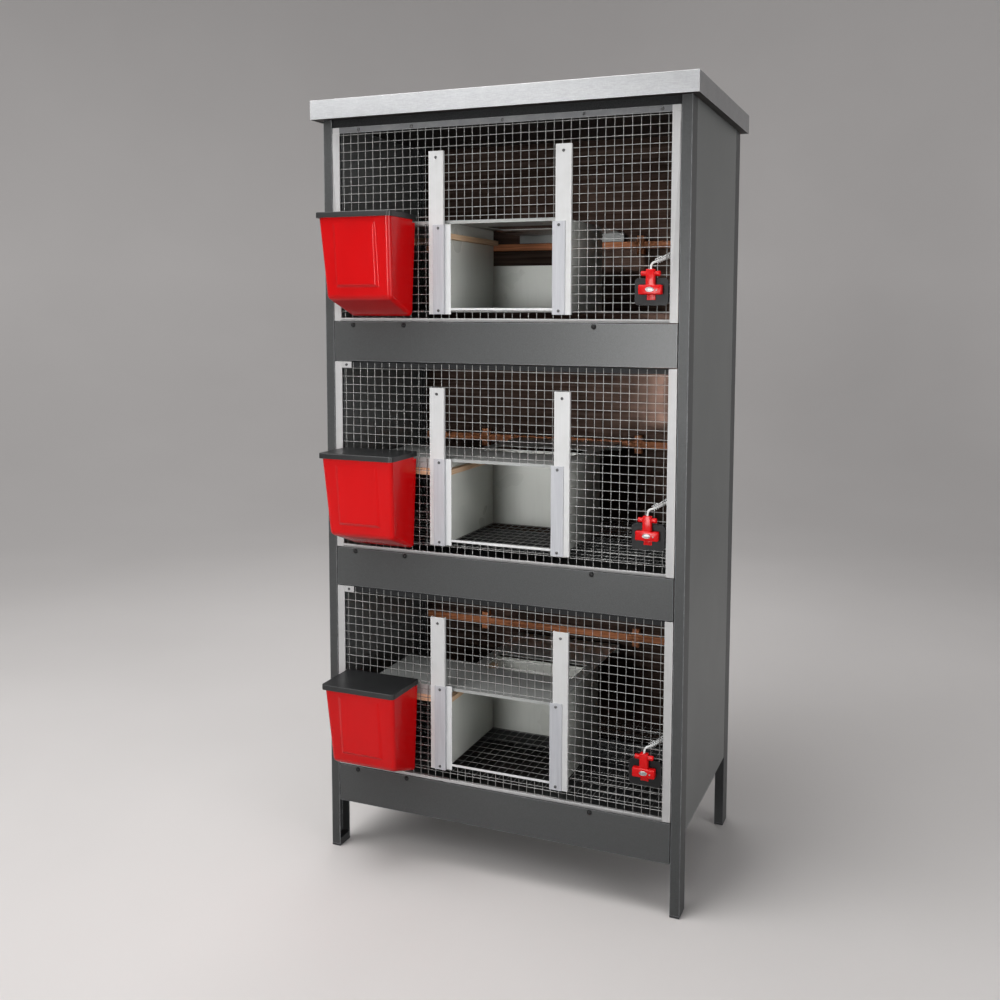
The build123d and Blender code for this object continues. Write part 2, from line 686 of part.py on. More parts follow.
def drawer_knobs(base):
    """Domed screws in the drawer front, used to pull it."""
    z = base - KNOB_DROP
    knobs = []
    for x in knob_positions():
        head = facet_y(x, -KNOB_HEIGHT, 0, z, KNOB_DIAMETER, KNOB_SIDES)
        head = chamfer(head.edges().group_by(Axis.Y)[0], KNOB_CHAMFER)
        knobs.append(head + facet_y(x, 0, 2 * SHEET, z, KNOB_SHANK, KNOB_SIDES))
    return knobs


# Feeder

def feeder_core(base, inset):
    """The hopper's tapered outer form, or its cavity when inset by the wall and run past the rim."""
    top = base + FEEDER_TOP + inset
    front_top = FEEDER_REAR - FEEDER_TOP_DEPTH + inset - inset * FEEDER_LEAN
    front_foot = FEEDER_REAR - FEEDER_BOTTOM_DEPTH + inset - inset * FEEDER_LEAN
    slope = math.atan2(FEEDER_FRONT_FOOT - FEEDER_REAR_FOOT, FEEDER_BOTTOM_DEPTH)
    lift = inset / math.cos(slope)
    side = [(front_top, top),
            (front_foot, base + FEEDER_FRONT_FOOT + lift - inset * math.tan(slope)),
            (FEEDER_REAR - inset, base + FEEDER_REAR_FOOT + lift + inset * math.tan(slope)),
            (FEEDER_REAR - inset, top)]
    wide = FEEDER_TOP_WIDTH / 2 - inset
    narrow = FEEDER_BOTTOM_WIDTH / 2 - inset
    body = prism_x(side, FEEDER_CENTRE - wide, FEEDER_CENTRE + wide)
    body = chamfer(body.edges().filter_by(Axis.X).sort_by(Axis.Z)[1], FEEDER_TOE)
    low = base + FEEDER_REAR_FOOT - FEEDER_WALL
    front = [(FEEDER_CENTRE - wide, top), (FEEDER_CENTRE - narrow, low),
             (FEEDER_CENTRE + narrow, low), (FEEDER_CENTRE + wide, top)]
    taper = prism_y(front, -2 * FEEDER_TOP_DEPTH, FEEDER_TOP_DEPTH)
    return body & taper


def panel_outline(base, inset, proud_top, proud_foot):
    """The front panel's outline, at its own distance from the hopper's leaning front."""
    half = FEEDER_PANEL_WIDTH / 2 - inset
    corners = []
    for height, proud in ((FEEDER_PANEL_TOP - inset, proud_top),
                          (FEEDER_PANEL_BOTTOM + inset, proud_foot)):
        y = FEEDER_REAR - FEEDER_TOP_DEPTH + (FEEDER_TOP - height) * FEEDER_LEAN - proud
        corners.append((y, base + height))
    (y_top, z_top), (y_foot, z_foot) = corners
    points = [(FEEDER_CENTRE - half, y_top, z_top), (FEEDER_CENTRE - half, y_foot, z_foot),
              (FEEDER_CENTRE + half, y_foot, z_foot), (FEEDER_CENTRE + half, y_top, z_top)]
    return make_face(Polyline(points, close=True))


def feeder_panel(base):
    """The raised panel moulded on the hopper's front, which stands out most at its foot."""
    root = panel_outline(base, 0, -FEEDER_WALL / 2, -FEEDER_WALL / 2)
    face = panel_outline(base, FEEDER_PANEL_BEVEL, FEEDER_PANEL_PROUD_TOP, FEEDER_PANEL_PROUD_FOOT)
    return loft([root, face], ruled=True)


def hinge_notch(base):
    """The room behind the hinge that the lid's rear edge turns through, round two pin ears."""
    x0 = FEEDER_CENTRE - FEEDER_TOP_WIDTH
    x1 = FEEDER_CENTRE + FEEDER_TOP_WIDTH
    room = block(x0, x1, HINGE_Y, FEEDER_REAR + FEEDER_WALL, base + FEEDER_REAR_WALL_TOP,
                 base + FEEDER_TOP + FEEDER_WALL)
    return room - facet_x(x0, x1, HINGE_Y, base + HINGE_HEIGHT, 2 * HINGE_DROP, PIN_SIDES)


def feeder_hopper(base):
    """The moulded hopper with its trough, which reaches through the mesh."""
    outer = feeder_core(base, 0)
    upright = outer.edges().filter_by(lambda e: abs(e.tangent_at(0.5).Z) > 0.9)
    outer = fillet(upright.group_by(Axis.Y)[0], FEEDER_CORNER)
    outer += feeder_panel(base)
    hopper = outer - feeder_core(base, FEEDER_WALL)
    hopper -= hinge_notch(base)
    half = TROUGH_WIDTH / 2
    inner = half - FEEDER_WALL
    low = base + TROUGH_RISE
    floor = low + FEEDER_WALL
    hopper += block(FEEDER_CENTRE - half, FEEDER_CENTRE + half, FEEDER_REAR - FEEDER_WALL,
                    FEEDER_REAR + TROUGH_REACH, low, low + TROUGH_HEIGHT)
    hopper -= block(FEEDER_CENTRE - inner, FEEDER_CENTRE + inner, FEEDER_REAR - FEEDER_WALL,
                    FEEDER_REAR + TROUGH_REACH - FEEDER_WALL, floor, low + TROUGH_HEIGHT)
    hopper -= block(FEEDER_CENTRE - inner, FEEDER_CENTRE + inner, FEEDER_REAR - FEEDER_WALL,
                    FEEDER_REAR, floor, low + TROUGH_MOUTH)
    pin_hole = HINGE_PIN + 2 * HINGE_CLEARANCE
    hopper -= hole_x(FEEDER_CENTRE - FEEDER_TOP_WIDTH, FEEDER_CENTRE + FEEDER_TOP_WIDTH,
                     HINGE_Y, base + HINGE_HEIGHT, pin_hole, PIN_SIDES)
    return hopper


def feeder_lid(base):
    """The lid: a rimmed cover with two moulded hinge pins in the hopper's sides."""
    half = LID_WIDTH / 2
    y0 = -FEEDER_REACH
    y1 = FEEDER_REAR - LID_REAR_GAP
    top = base + LID_TOP
    outer = block(FEEDER_CENTRE - half, FEEDER_CENTRE + half, y0, y1, top - LID_RIM, top)
    outer = soften(outer, Axis.Z, LID_CORNER, lambda edge: edge.center().Y < y0 + LID_CORNER)
    outer = chamfer(outer.edges().group_by(Axis.Z)[-1], LID_TOP_CHAMFER)
    inner = half - LID_WALL
    hollow = block(FEEDER_CENTRE - inner, FEEDER_CENTRE + inner, y0 + LID_WALL, y1 + LID_WALL,
                   top - LID_RIM, top - LID_WALL)
    hollow = chamfer(hollow.edges().filter_by(Axis.Z).group_by(Axis.Y)[0], LID_CORNER - LID_WALL)
    lid = outer - hollow
    for sign in (-1, 1):
        rim = FEEDER_CENTRE + sign * inner
        reach = rim - sign * HINGE_PIN_REACH
        lid += facet_x(min(rim, reach), max(rim, reach), HINGE_Y, base + HINGE_HEIGHT, HINGE_PIN,
                       PIN_SIDES)
    return lid


# Drinker

def drinker_cup(base):
    """A back plate on the mesh with an open bowl on the birds' side."""
    half = CUP_PLATE_WIDTH / 2
    low = base + CUP_PLATE_BOTTOM
    plate = block(DRINKER_CENTRE - half, DRINKER_CENTRE + half, CUP_FACE, MESH_FRONT, low,
                  low + CUP_PLATE_HEIGHT)
    plate = soften(plate, Axis.Y, CUP_PLATE_CORNER, lambda edge: True)
    out = BOWL_WIDTH / 2
    inn = out - BOWL_WALL
    bottom = base + BOWL_BOTTOM
    top = base + BOWL_TOP
    rear = MESH_FRONT + BOWL_DEPTH
    bowl = block(DRINKER_CENTRE - out, DRINKER_CENTRE + out, MESH_FRONT, rear, bottom, top)
    bowl = soften(bowl, Axis.Z, BOWL_CORNER, lambda edge: edge.center().Y > rear - BOWL_CORNER)
    hollow = block(DRINKER_CENTRE - inn, DRINKER_CENTRE + inn, MESH_FRONT, rear - BOWL_WALL,
                   bottom + BOWL_WALL, top)
    hollow = chamfer(hollow.edges().filter_by(Axis.Z).group_by(Axis.Y)[-1],
                     BOWL_CORNER - BOWL_WALL)
    cup = plate + (bowl - hollow)
    cup -= facet_y(DRINKER_CENTRE, CUP_FACE, MESH_FRONT, base + nozzle_height(),
                   NOZZLE_DIAMETER + 2 * PLAY, VALVE_SIDES)
    cup -= hole_x(DRINKER_CENTRE - out, DRINKER_CENTRE + out, TRIGGER_Y, base + TRIGGER_HEIGHT,
                  TRIGGER_PIN + 2 * TRIGGER_CLEARANCE, PIN_SIDES)
    return cup


def nozzle_height():
    """The nozzle sits low on the valve bar, where the trigger presses it."""
    return VALVE_BAR_BOTTOM + NOZZLE_DIAMETER / 2


def drinker_valve(base):
    """The T-shaped valve body on the outside of the cup plate."""
    x = DRINKER_CENTRE
    bar_low = base + VALVE_BAR_BOTTOM
    half = VALVE_BAR_WIDTH / 2
    bar = block(x - half, x + half, CUP_FACE - VALVE_BAR_DEPTH, CUP_FACE, bar_low,
                bar_low + VALVE_BAR_HEIGHT)
    bar = chamfer(bar.edges().filter_by(Axis.Y), VALVE_BAR_CORNER)
    half = VALVE_STEM_WIDTH / 2
    body = bar + block(x - half, x + half, CUP_FACE - VALVE_STEM_DEPTH, CUP_FACE, bar_low,
                       base + VALVE_TOP)
    half = VALVE_HANDLE_WIDTH / 2
    body += facet_x(x - half, x + half, CUP_FACE - VALVE_STEM_DEPTH / 2,
                    base + VALVE_TOP - VALVE_HANDLE_DROP, VALVE_HANDLE_DIAMETER, VALVE_SIDES)
    half = VALVE_TAB_WIDTH / 2
    tab = block(x - half, x + half, CUP_FACE - VALVE_TAB_DEPTH, CUP_FACE,
                bar_low - VALVE_TAB_DROP, bar_low)
    slot = VALVE_TAB_SLOT / 2
    tab -= block(x - slot, x + slot, CUP_FACE - VALVE_TAB_DEPTH, CUP_FACE,
                 bar_low - VALVE_TAB_DROP, bar_low - VALVE_TAB_ROOT)
    body += tab
    body += facet_y(x, CUP_FACE - PLAY, MESH_FRONT + NOZZLE_REACH, base + nozzle_height(),
                    NOZZLE_DIAMETER, VALVE_SIDES)
    return body


def drinker_trigger(base):
    """The paddle that hangs in the bowl and presses the nozzle."""
    half = TRIGGER_WIDTH / 2
    z = base + TRIGGER_HEIGHT
    paddle = block(DRINKER_CENTRE - half, DRINKER_CENTRE + half,
                   TRIGGER_Y - TRIGGER_THICKNESS / 2, TRIGGER_Y + TRIGGER_THICKNESS / 2,
                   z - TRIGGER_LENGTH, z + TRIGGER_PIN / 2)
    reach = BOWL_WIDTH / 2
    return paddle + facet_x(DRINKER_CENTRE - reach, DRINKER_CENTRE + reach, TRIGGER_Y, z,
                            TRIGGER_PIN, PIN_SIDES)


def tube_points(base):
    """The hose's route: out of the valve's top, through one mesh cell, into the post."""
    x = DRINKER_CENTRE
    y = CUP_FACE - VALVE_STEM_DEPTH / 2
    z = base + VALVE_TOP
    points = [(x, y, z)]
    for up, right, back in TUBE_ROUTE:
        points.append((x + right, y + back, z + up))
    points.append((HALF_WIDTH - POST_WALL, points[-1][1], points[-1][2]))
    return [Vector(*p) for p in points]


def bend_radii(points):
    """The largest bend at each corner that its two runs allow."""
    radii = []
    for before, here, after in zip(points, points[1:], points[2:]):
        turn = math.radians((here - before).get_angle(after - here))
        shorter = min((here - before).length, (after - here).length)
        radii.append(TUBE_BEND_SHARE * shorter / math.tan(turn / 2))
    return radii


def water_tube(base):
    points = tube_points(base)
    radii = bend_radii(points)
    path = FilletPolyline(*points, radius=radii)
    start = Plane(origin=points[0], z_dir=points[1] - points[0])
    print("water tube: length %.1f mm, bends %s" % (path.length, [round(r, 1) for r in radii]))
    return sweep(start * RegularPolygon(TUBE_DIAMETER / 2, TUBE_SIDES), path=path)


# Assembly

os.makedirs("parts", exist_ok=True)

front_post = post(front=True)
rear_post = post(front=False)
write("front_right_post", front_post)
write("front_left_post", mirrored(front_post))
write("rear_right_post", rear_post)
write("rear_left_post", mirrored(rear_post))
feet = [foot(front=True), foot(front=False)]
write("foot_caps", *feet, *[mirrored(piece) for piece in feet])
write("right_side_panel", side_panel())
write("left_side_panel", mirrored(side_panel()))
write("back_panel", back_panel())
write("roof_tray", roof_tray())
write("roof_board", roof_board())
write("head_rails", top_rail(), *[head_rail(TIER_BASES[name]) for name in TIER_NAMES[:-1]])
runners = [runner(base) for base in TIER_BASES.values()]
write("drawer_runners", *runners, *[mirrored(piece) for piece in runners])

for tier, base_z in TIER_BASES.items():
    drinker_z = base_z + drinker_rise(tier)
    write(tier + "_front_mesh", *front_mesh(tier, base_z))
    write(tier + "_front_strips", *front_strips(tier, base_z))
    write(tier + "_door_rails", *door_rails(tier, base_z))
    write(tier + "_door_guides", *door_guides(tier, base_z))
    write(tier + "_floor_mesh", *floor_mesh(base_z))
    write(tier + "_nest_box", nest_box(tier, base_z))
    write(tier + "_nest_top", nest_top(tier, base_z))
    write(tier + "_battens", *battens(tier, base_z))
    write(tier + "_drawer", drawer(base_z))
    write(tier + "_drawer_knobs", *drawer_knobs(base_z))
    write(tier + "_feeder_hopper", feeder_hopper(base_z))
    write(tier + "_feeder_lid", feeder_lid(base_z))
    write(tier + "_drinker_cup", drinker_cup(drinker_z))
    write(tier + "_drinker_valve", drinker_valve(drinker_z))
    write(tier + "_drinker_trigger", drinker_trigger(drinker_z))
    write(tier + "_water_tube", water_tube(drinker_z))
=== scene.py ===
import math
import random

import bmesh
import bpy
from mathutils import Matrix, Vector

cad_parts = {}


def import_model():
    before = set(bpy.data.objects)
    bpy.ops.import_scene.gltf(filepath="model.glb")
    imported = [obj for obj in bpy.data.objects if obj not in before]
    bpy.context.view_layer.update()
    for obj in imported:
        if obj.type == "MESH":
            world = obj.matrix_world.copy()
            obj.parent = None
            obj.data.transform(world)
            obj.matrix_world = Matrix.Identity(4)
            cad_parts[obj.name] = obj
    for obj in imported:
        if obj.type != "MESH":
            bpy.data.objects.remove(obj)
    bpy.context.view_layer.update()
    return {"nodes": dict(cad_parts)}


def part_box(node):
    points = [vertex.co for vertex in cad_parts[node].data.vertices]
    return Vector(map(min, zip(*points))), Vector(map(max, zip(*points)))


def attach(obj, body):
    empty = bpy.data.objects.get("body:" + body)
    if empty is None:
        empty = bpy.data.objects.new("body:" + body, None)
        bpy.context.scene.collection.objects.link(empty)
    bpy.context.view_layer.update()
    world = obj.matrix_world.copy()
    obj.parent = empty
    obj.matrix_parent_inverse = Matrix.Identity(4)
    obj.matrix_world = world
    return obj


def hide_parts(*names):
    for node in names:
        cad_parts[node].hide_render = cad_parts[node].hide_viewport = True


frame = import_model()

# The frame that everything is placed by, in metres

MM = 0.001
NODES = frame["nodes"]
TIERS = ("lower", "middle", "upper")
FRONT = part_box("front_left_post")[0].y
BASE = {tier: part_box(f"{tier}_drawer")[1].z for tier in TIERS}
OUT = Vector((0, -1, 0))


def centre_x(node):
    low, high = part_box(node)
    return (low.x + high.x) / 2


FEEDER_X = centre_x("lower_feeder_lid")
DRINKER_X = centre_x("lower_drinker_cup")
CUP_FOOT = {tier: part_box(f"{tier}_drinker_cup")[0].z for tier in TIERS}


def spot(tier, x, y, z):
    """A point in metres from millimetres: x across, y inwards from the front plane, z above the tier."""
    return Vector((x * MM, FRONT + y * MM, BASE[tier] + z * MM))


def cup_spot(tier, x, y, z):
    """The same for a drinker: x from its middle, z from the foot of its back plate."""
    return Vector((DRINKER_X + x * MM, FRONT + y * MM, CUP_FOOT[tier] + z * MM))


# Materials: sizes and heights in metres

PANEL_SKIN = 0.0015
HEAD_STRIP_TALL = 0.0131
HEAD_STRIP_HALF = 0.3884
GUIDE_FACE = 0.0005
PERCH_SPACE = 0.1


def srgb(red, green, blue):
    """A colour given in screen values from 0 to 255, in the linear light that a shader takes."""
    shares = [value / 255 for value in (red, green, blue)]
    linear = [s / 12.92 if s <= 0.04045 else ((s + 0.055) / 1.055) ** 2.4 for s in shares]
    return (*linear, 1.0)


class Surface:
    """A Principled material whose tint, sheen and relief come from noise in the part's own frame."""

    def __init__(self, name, roughness, metallic=0.0, **sockets):
        self.material = bpy.data.materials.new(name)
        self.material.use_nodes = True
        self.nodes = self.material.node_tree.nodes
        self.links = self.material.node_tree.links
        self.shader = self.nodes["Principled BSDF"]
        self.shader.inputs["Roughness"].default_value = roughness
        self.shader.inputs["Metallic"].default_value = metallic
        for socket, value in sockets.items():
            self.shader.inputs[socket.replace("_", " ")].default_value = value
        self.place = self.nodes.new("ShaderNodeTexCoord").outputs["Object"]
        self.relief = None

    def feed(self, socket, value):
        """Links an output to a socket, or sets the socket where the value is a plain one."""
        if isinstance(value, bpy.types.NodeSocket):
            self.links.new(value, socket)
        else:
            socket.default_value = value

    def noise(self, size, detail=2.0, stretch=(1, 1, 1)):
        """Noise with blotches about size metres across, drawn out along each axis by stretch."""
        mapping = self.nodes.new("ShaderNodeMapping")
        mapping.inputs["Scale"].default_value = [1 / (size * s) for s in stretch]
        self.links.new(self.place, mapping.inputs["Vector"])
        noise = self.nodes.new("ShaderNodeTexNoise")
        noise.inputs["Scale"].default_value = 1.0
        noise.inputs["Detail"].default_value = detail
        self.links.new(mapping.outputs["Vector"], noise.inputs["Vector"])
        return noise.outputs["Fac"]

    def axis(self, letter):
        """The surface point's own X, Y or Z, in metres."""
        split = self.nodes.new("ShaderNodeSeparateXYZ")
        self.links.new(self.place, split.inputs["Vector"])
        return split.outputs[letter]

    def spread(self, source, low, high, start=0.3, end=0.7):
        """The part of source from start to end, stretched over low to high and held there."""
        spread = self.nodes.new("ShaderNodeMapRange")
        self.links.new(source, spread.inputs["Value"])
        spread.inputs["From Min"].default_value = start
        spread.inputs["From Max"].default_value = end
        spread.inputs["To Min"].default_value = low
        spread.inputs["To Max"].default_value = high
        return spread.outputs["Result"]

    def combine(self, operation, first, second):
        """One step of arithmetic on outputs or plain numbers."""
        maths = self.nodes.new("ShaderNodeMath")
        maths.operation = operation
        self.feed(maths.inputs[0], first)
        self.feed(maths.inputs[1], second)
        return maths.outputs["Value"]

    def blend(self, share, first, second):
        """A colour from first to second, by share."""
        mix = self.nodes.new("ShaderNodeMix")
        mix.data_type = "RGBA"
        self.feed(mix.inputs["Factor"], share)
        colours = [socket for socket in mix.inputs if socket.type == "RGBA"]
        self.feed(colours[0], first)
        self.feed(colours[1], second)
        return next(socket for socket in mix.outputs if socket.type == "RGBA")

    def colour(self, source):
        self.feed(self.shader.inputs["Base Color"], source)

    def sheen(self, source):
        self.links.new(source, self.shader.inputs["Roughness"])

    def bump(self, source, height):
        """Relief of the given height in metres, on top of what relief there is."""
        bump = self.nodes.new("ShaderNodeBump")
        bump.inputs["Distance"].default_value = height
        self.links.new(source, bump.inputs["Height"])
        if self.relief is not None:
            self.links.new(self.relief, bump.inputs["Normal"])
        self.relief = bump.outputs["Normal"]
        self.links.new(self.relief, self.shader.inputs["Normal"])

    def worn_and_highlit_edges(self, source, colour, reach):
        """source with a paler tint in the last reach metres before an edge: partly wear where the finish
        is thin, partly a painted highlight along the edge.
        """
        bevel = self.nodes.new("ShaderNodeBevel")
        bevel.samples = 4
        bevel.inputs["Radius"].default_value = reach
        plain = self.nodes.new("ShaderNodeNewGeometry")
        turned = self.nodes.new("ShaderNodeVectorMath")
        turned.operation = "DOT_PRODUCT"
        self.links.new(bevel.outputs["Normal"], turned.inputs[0])
        self.links.new(plain.outputs["Normal"], turned.inputs[1])
        edge = self.spread(turned.outputs["Value"], 1.0, 0.0, 0.9, 0.99)
        patchy = self.combine("MULTIPLY", edge, self.spread(self.noise(0.02, 4), 0.3, 1.0))
        return self.blend(patchy, source, colour)


def powder_coat(name, dark, pale, edge, roughness, painted_shade_reach=None, **sockets):
    """Fine-textured powder coat on folded sheet, with a dark painted shade on the faces nearer the middle
    than the given distance in metres.
    """
    s = Surface(name, roughness, **sockets)
    cloud = s.spread(s.noise(0.5, 3), 0.0, 1.0)
    fleck = s.spread(s.noise(0.0011, 2), 0.0, 1.0, 0.35, 0.65)
    tint = s.blend(cloud, dark, pale)
    flecked = s.blend(s.combine("MULTIPLY", fleck, 0.1), tint, srgb(150, 152, 154))
    # Painted shade: the faces nearer the middle than the given distance turn dark
    if painted_shade_reach:
        in_painted_shade = s.combine("LESS_THAN", s.combine("ABSOLUTE", s.axis("X"), 0.0), painted_shade_reach)
        flecked = s.blend(in_painted_shade, flecked, s.blend(cloud, srgb(34, 35, 35), srgb(40, 41, 41)))
    s.colour(s.worn_and_highlit_edges(flecked, edge, 0.0024))
    s.sheen(s.spread(s.noise(0.3, 3), roughness - 0.03, roughness + 0.03))
    s.bump(s.noise(0.0016, 2), 0.00002)
    return s.material


def roof_metal():
    """Bright rolled sheet with a fine grain along the fold and faint handling marks."""
    s = Surface("roof_metal", 0.36, 0.92)
    grain = s.noise(0.0012, 3, (12, 1, 1))
    mottle = s.spread(s.noise(0.004, 3), 0.0, 1.0)
    tint = s.blend(s.spread(grain, 0.0, 1.0), srgb(160, 161, 163), srgb(178, 179, 180))
    mixed = s.blend(s.combine("MULTIPLY", mottle, 0.4), tint, srgb(148, 149, 151))
    s.colour(s.worn_and_highlit_edges(mixed, srgb(226, 227, 228), 0.0018))
    s.sheen(s.spread(s.noise(0.035, 4), 0.32, 0.42))
    s.bump(grain, 0.00001)
    return s.material


def white_strip(name, clean, worn):
    """White coated edging, with the bare grey head strip above the upper mesh."""
    s = Surface(name, 0.38)
    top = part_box("upper_front_strips")[1].z
    head = s.combine("GREATER_THAN", s.axis("Z"), top - HEAD_STRIP_TALL)
    across = s.combine("LESS_THAN", s.combine("ABSOLUTE", s.axis("X"), 0.0), HEAD_STRIP_HALF)
    smudge = s.spread(s.noise(0.03, 5), 0.0, 1.0, 0.45, 0.75)
    streak = s.spread(s.noise(0.004, 2, (1, 1, 30)), 0.0, 1.0)
    white = s.blend(s.combine("MULTIPLY", smudge, 0.35), clean, worn)
    white = s.blend(s.combine("MULTIPLY", streak, 0.25), white, worn)
    bare = s.blend(smudge, srgb(96, 97, 99), srgb(112, 113, 114))
    mixed = s.blend(s.combine("MULTIPLY", head, across), white, bare)
    s.colour(s.worn_and_highlit_edges(mixed, srgb(226, 226, 226), 0.0014))
    s.sheen(s.spread(s.noise(0.02, 3), 0.32, 0.46))
    s.bump(s.noise(0.003, 2), 0.00004)
    return s.material


def guide_metal():
    """Satin anodised guides, drawn lengthwise, with a white lip and sill bar behind their faces."""
    s = Surface("guide_metal", 0.4)
    drawn = s.noise(0.0009, 3, (1, 1, 60))
    broad = s.spread(s.noise(0.006, 2, (1, 1, 25)), 0.0, 1.0)
    tint = s.blend(s.spread(drawn, 0.0, 1.0), srgb(176, 177, 182), srgb(192, 193, 197))
    plain = s.blend(s.combine("MULTIPLY", broad, 0.4), tint, srgb(168, 169, 175))
    behind = s.combine("GREATER_THAN", s.axis("Y"), FRONT - GUIDE_FACE)
    white = s.blend(broad, srgb(222, 222, 222), srgb(208, 209, 210))
    s.colour(s.blend(behind, plain, white))
    s.sheen(s.spread(drawn, 0.34, 0.48))
    s.bump(drawn, 0.00002)
    return s.material


def nest_sheet(name, dull, clean):
    """Pale grey coated sheet with a little dust and faint vertical runs."""
    s = Surface(name, 0.3)
    cloud = s.spread(s.noise(0.14, 3), 0.0, 1.0)
    runs = s.spread(s.noise(0.008, 3, (1, 1, 14)), 0.0, 1.0, 0.5, 0.8)
    dust = s.spread(s.noise(0.0025, 4), 0.0, 1.0, 0.55, 0.75)
    tint = s.blend(cloud, dull, clean)
    tint = s.blend(s.combine("MULTIPLY", runs, 0.12), tint, srgb(172, 173, 169))
    tint = s.blend(s.combine("MULTIPLY", dust, 0.1), tint, srgb(214, 213, 209))
    s.colour(s.worn_and_highlit_edges(tint, srgb(226, 226, 224), 0.001))
    s.sheen(s.spread(cloud, 0.26, 0.34, 0.0, 1.0))
    s.bump(s.noise(0.002, 2), 0.00002)
    return s.material


def galvanised(name, dark, pale, spangle):
    """Zinc with its dull spangle, brighter where it has been rubbed."""
    s = Surface(name, 0.42, 0.55)
    cell = s.nodes.new("ShaderNodeTexVoronoi")
    cell.inputs["Scale"].default_value = 1 / spangle
    s.links.new(s.place, cell.inputs["Vector"])
    facet = s.nodes.new("ShaderNodeSeparateColor")
    s.links.new(cell.outputs["Color"], facet.inputs["Color"])
    tint = s.blend(facet.outputs["Red"], dark, pale)
    bloom = s.spread(s.noise(0.015, 4), 0.0, 0.4, 0.5, 0.75)
    s.colour(s.blend(bloom, tint, pale))
    s.sheen(s.spread(facet.outputs["Green"], 0.34, 0.52, 0.0, 1.0))
    s.bump(s.noise(0.0012, 3), 0.00005)
    return s.material


def moulded(name, deep, bright, edge, roughness, grain_height, **sockets):
    """Injection-moulded plastic: faint flow marks, slight sink and a fine skin."""
    s = Surface(name, roughness, **sockets)
    flow = s.spread(s.noise(0.09, 2, (1, 1, 2.5)), 0.0, 1.0)
    s.colour(s.worn_and_highlit_edges(s.blend(flow, deep, bright), edge, 0.001))
    s.sheen(s.spread(s.noise(0.08, 2), roughness - 0.03, roughness + 0.04))
    s.bump(s.noise(0.06, 1), 0.0002)
    s.bump(s.noise(0.0011, 2), grain_height)
    return s.material


def batten_wood():
    """Planed softwood in front and the darker stained perch behind, grain along each stick."""
    s = Surface("batten_wood", 0.6)
    behind = s.combine("GREATER_THAN", s.axis("Y"), PERCH_SPACE)
    along_x = s.noise(0.0022, 6, (45, 1, 1))
    along_y = s.noise(0.0022, 6, (1, 45, 1))
    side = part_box("lower_nest_box")[0].x
    beside = s.combine("GREATER_THAN", s.axis("X"), side)
    in_nest = s.combine("MULTIPLY", beside, s.combine("SUBTRACT", 1.0, behind))
    pick = s.nodes.new("ShaderNodeMix")
    s.feed(pick.inputs["Factor"], in_nest)
    s.feed(pick.inputs["A"], along_x)
    s.feed(pick.inputs["B"], along_y)
    grain = pick.outputs["Result"]
    streak = s.spread(grain, 0.0, 1.0, 0.35, 0.65)
    pale = s.blend(streak, srgb(206, 162, 122), srgb(236, 204, 170))
    stained = s.blend(streak, srgb(168, 94, 52), srgb(222, 142, 90))
    s.colour(s.blend(behind, pale, stained))
    s.sheen(s.spread(grain, 0.5, 0.72))
    s.bump(grain, 0.00025)
    return s.material


def back_board():
    """Dark film-faced board: a smooth glossy film over brown fibre."""
    s = Surface("back_board", 0.12, Specular_IOR_Level=0.5, Specular_Tint=srgb(255, 206, 184))
    cloud = s.spread(s.noise(0.2, 3), 0.0, 1.0)
    fibre = s.spread(s.noise(0.012, 4, (30, 1, 1)), 0.0, 1.0, 0.4, 0.7)
    tint = s.blend(cloud, srgb(48, 38, 34), srgb(60, 49, 44))
    s.colour(s.blend(s.combine("MULTIPLY", fibre, 0.42), tint, srgb(106, 90, 81)))
    s.sheen(s.spread(s.noise(0.05, 4), 0.08, 0.16))
    s.bump(s.noise(0.05, 2), 0.00004)
    return s.material


def roof_board():
    """Dark stained plywood under the roof sheet."""
    s = Surface("roof_board", 0.62)
    grain = s.noise(0.004, 6, (30, 1, 1))
    s.colour(s.blend(s.spread(grain, 0.0, 1.0), srgb(34, 31, 29), srgb(50, 46, 43)))
    s.sheen(s.spread(grain, 0.55, 0.7))
    s.bump(grain, 0.0002)
    return s.material


def milky_hose():
    """Soft white tubing, cloudy along its length."""
    s = Surface("milky_hose", 0.32, Subsurface_Weight=0.25)
    s.shader.inputs["Subsurface Radius"].default_value = (0.004, 0.004, 0.004)
    cloud = s.spread(s.noise(0.006, 3), 0.0, 1.0)
    s.colour(s.blend(cloud, srgb(206, 208, 206), srgb(228, 229, 227)))
    s.sheen(s.spread(cloud, 0.26, 0.4, 0.0, 1.0))
    s.bump(s.noise(0.004, 2), 0.0001)
    return s.material


def plated(name, dull, bright):
    """Plated metal with fine scratches, duller in places."""
    s = Surface(name, 0.3, 0.8)
    scratch = s.spread(s.noise(0.0012, 4), 0.0, 1.0)
    s.colour(s.blend(scratch, dull, bright))
    s.sheen(s.spread(scratch, 0.24, 0.45, 0.0, 1.0))
    s.bump(s.noise(0.0008, 2), 0.00004)
    return s.material
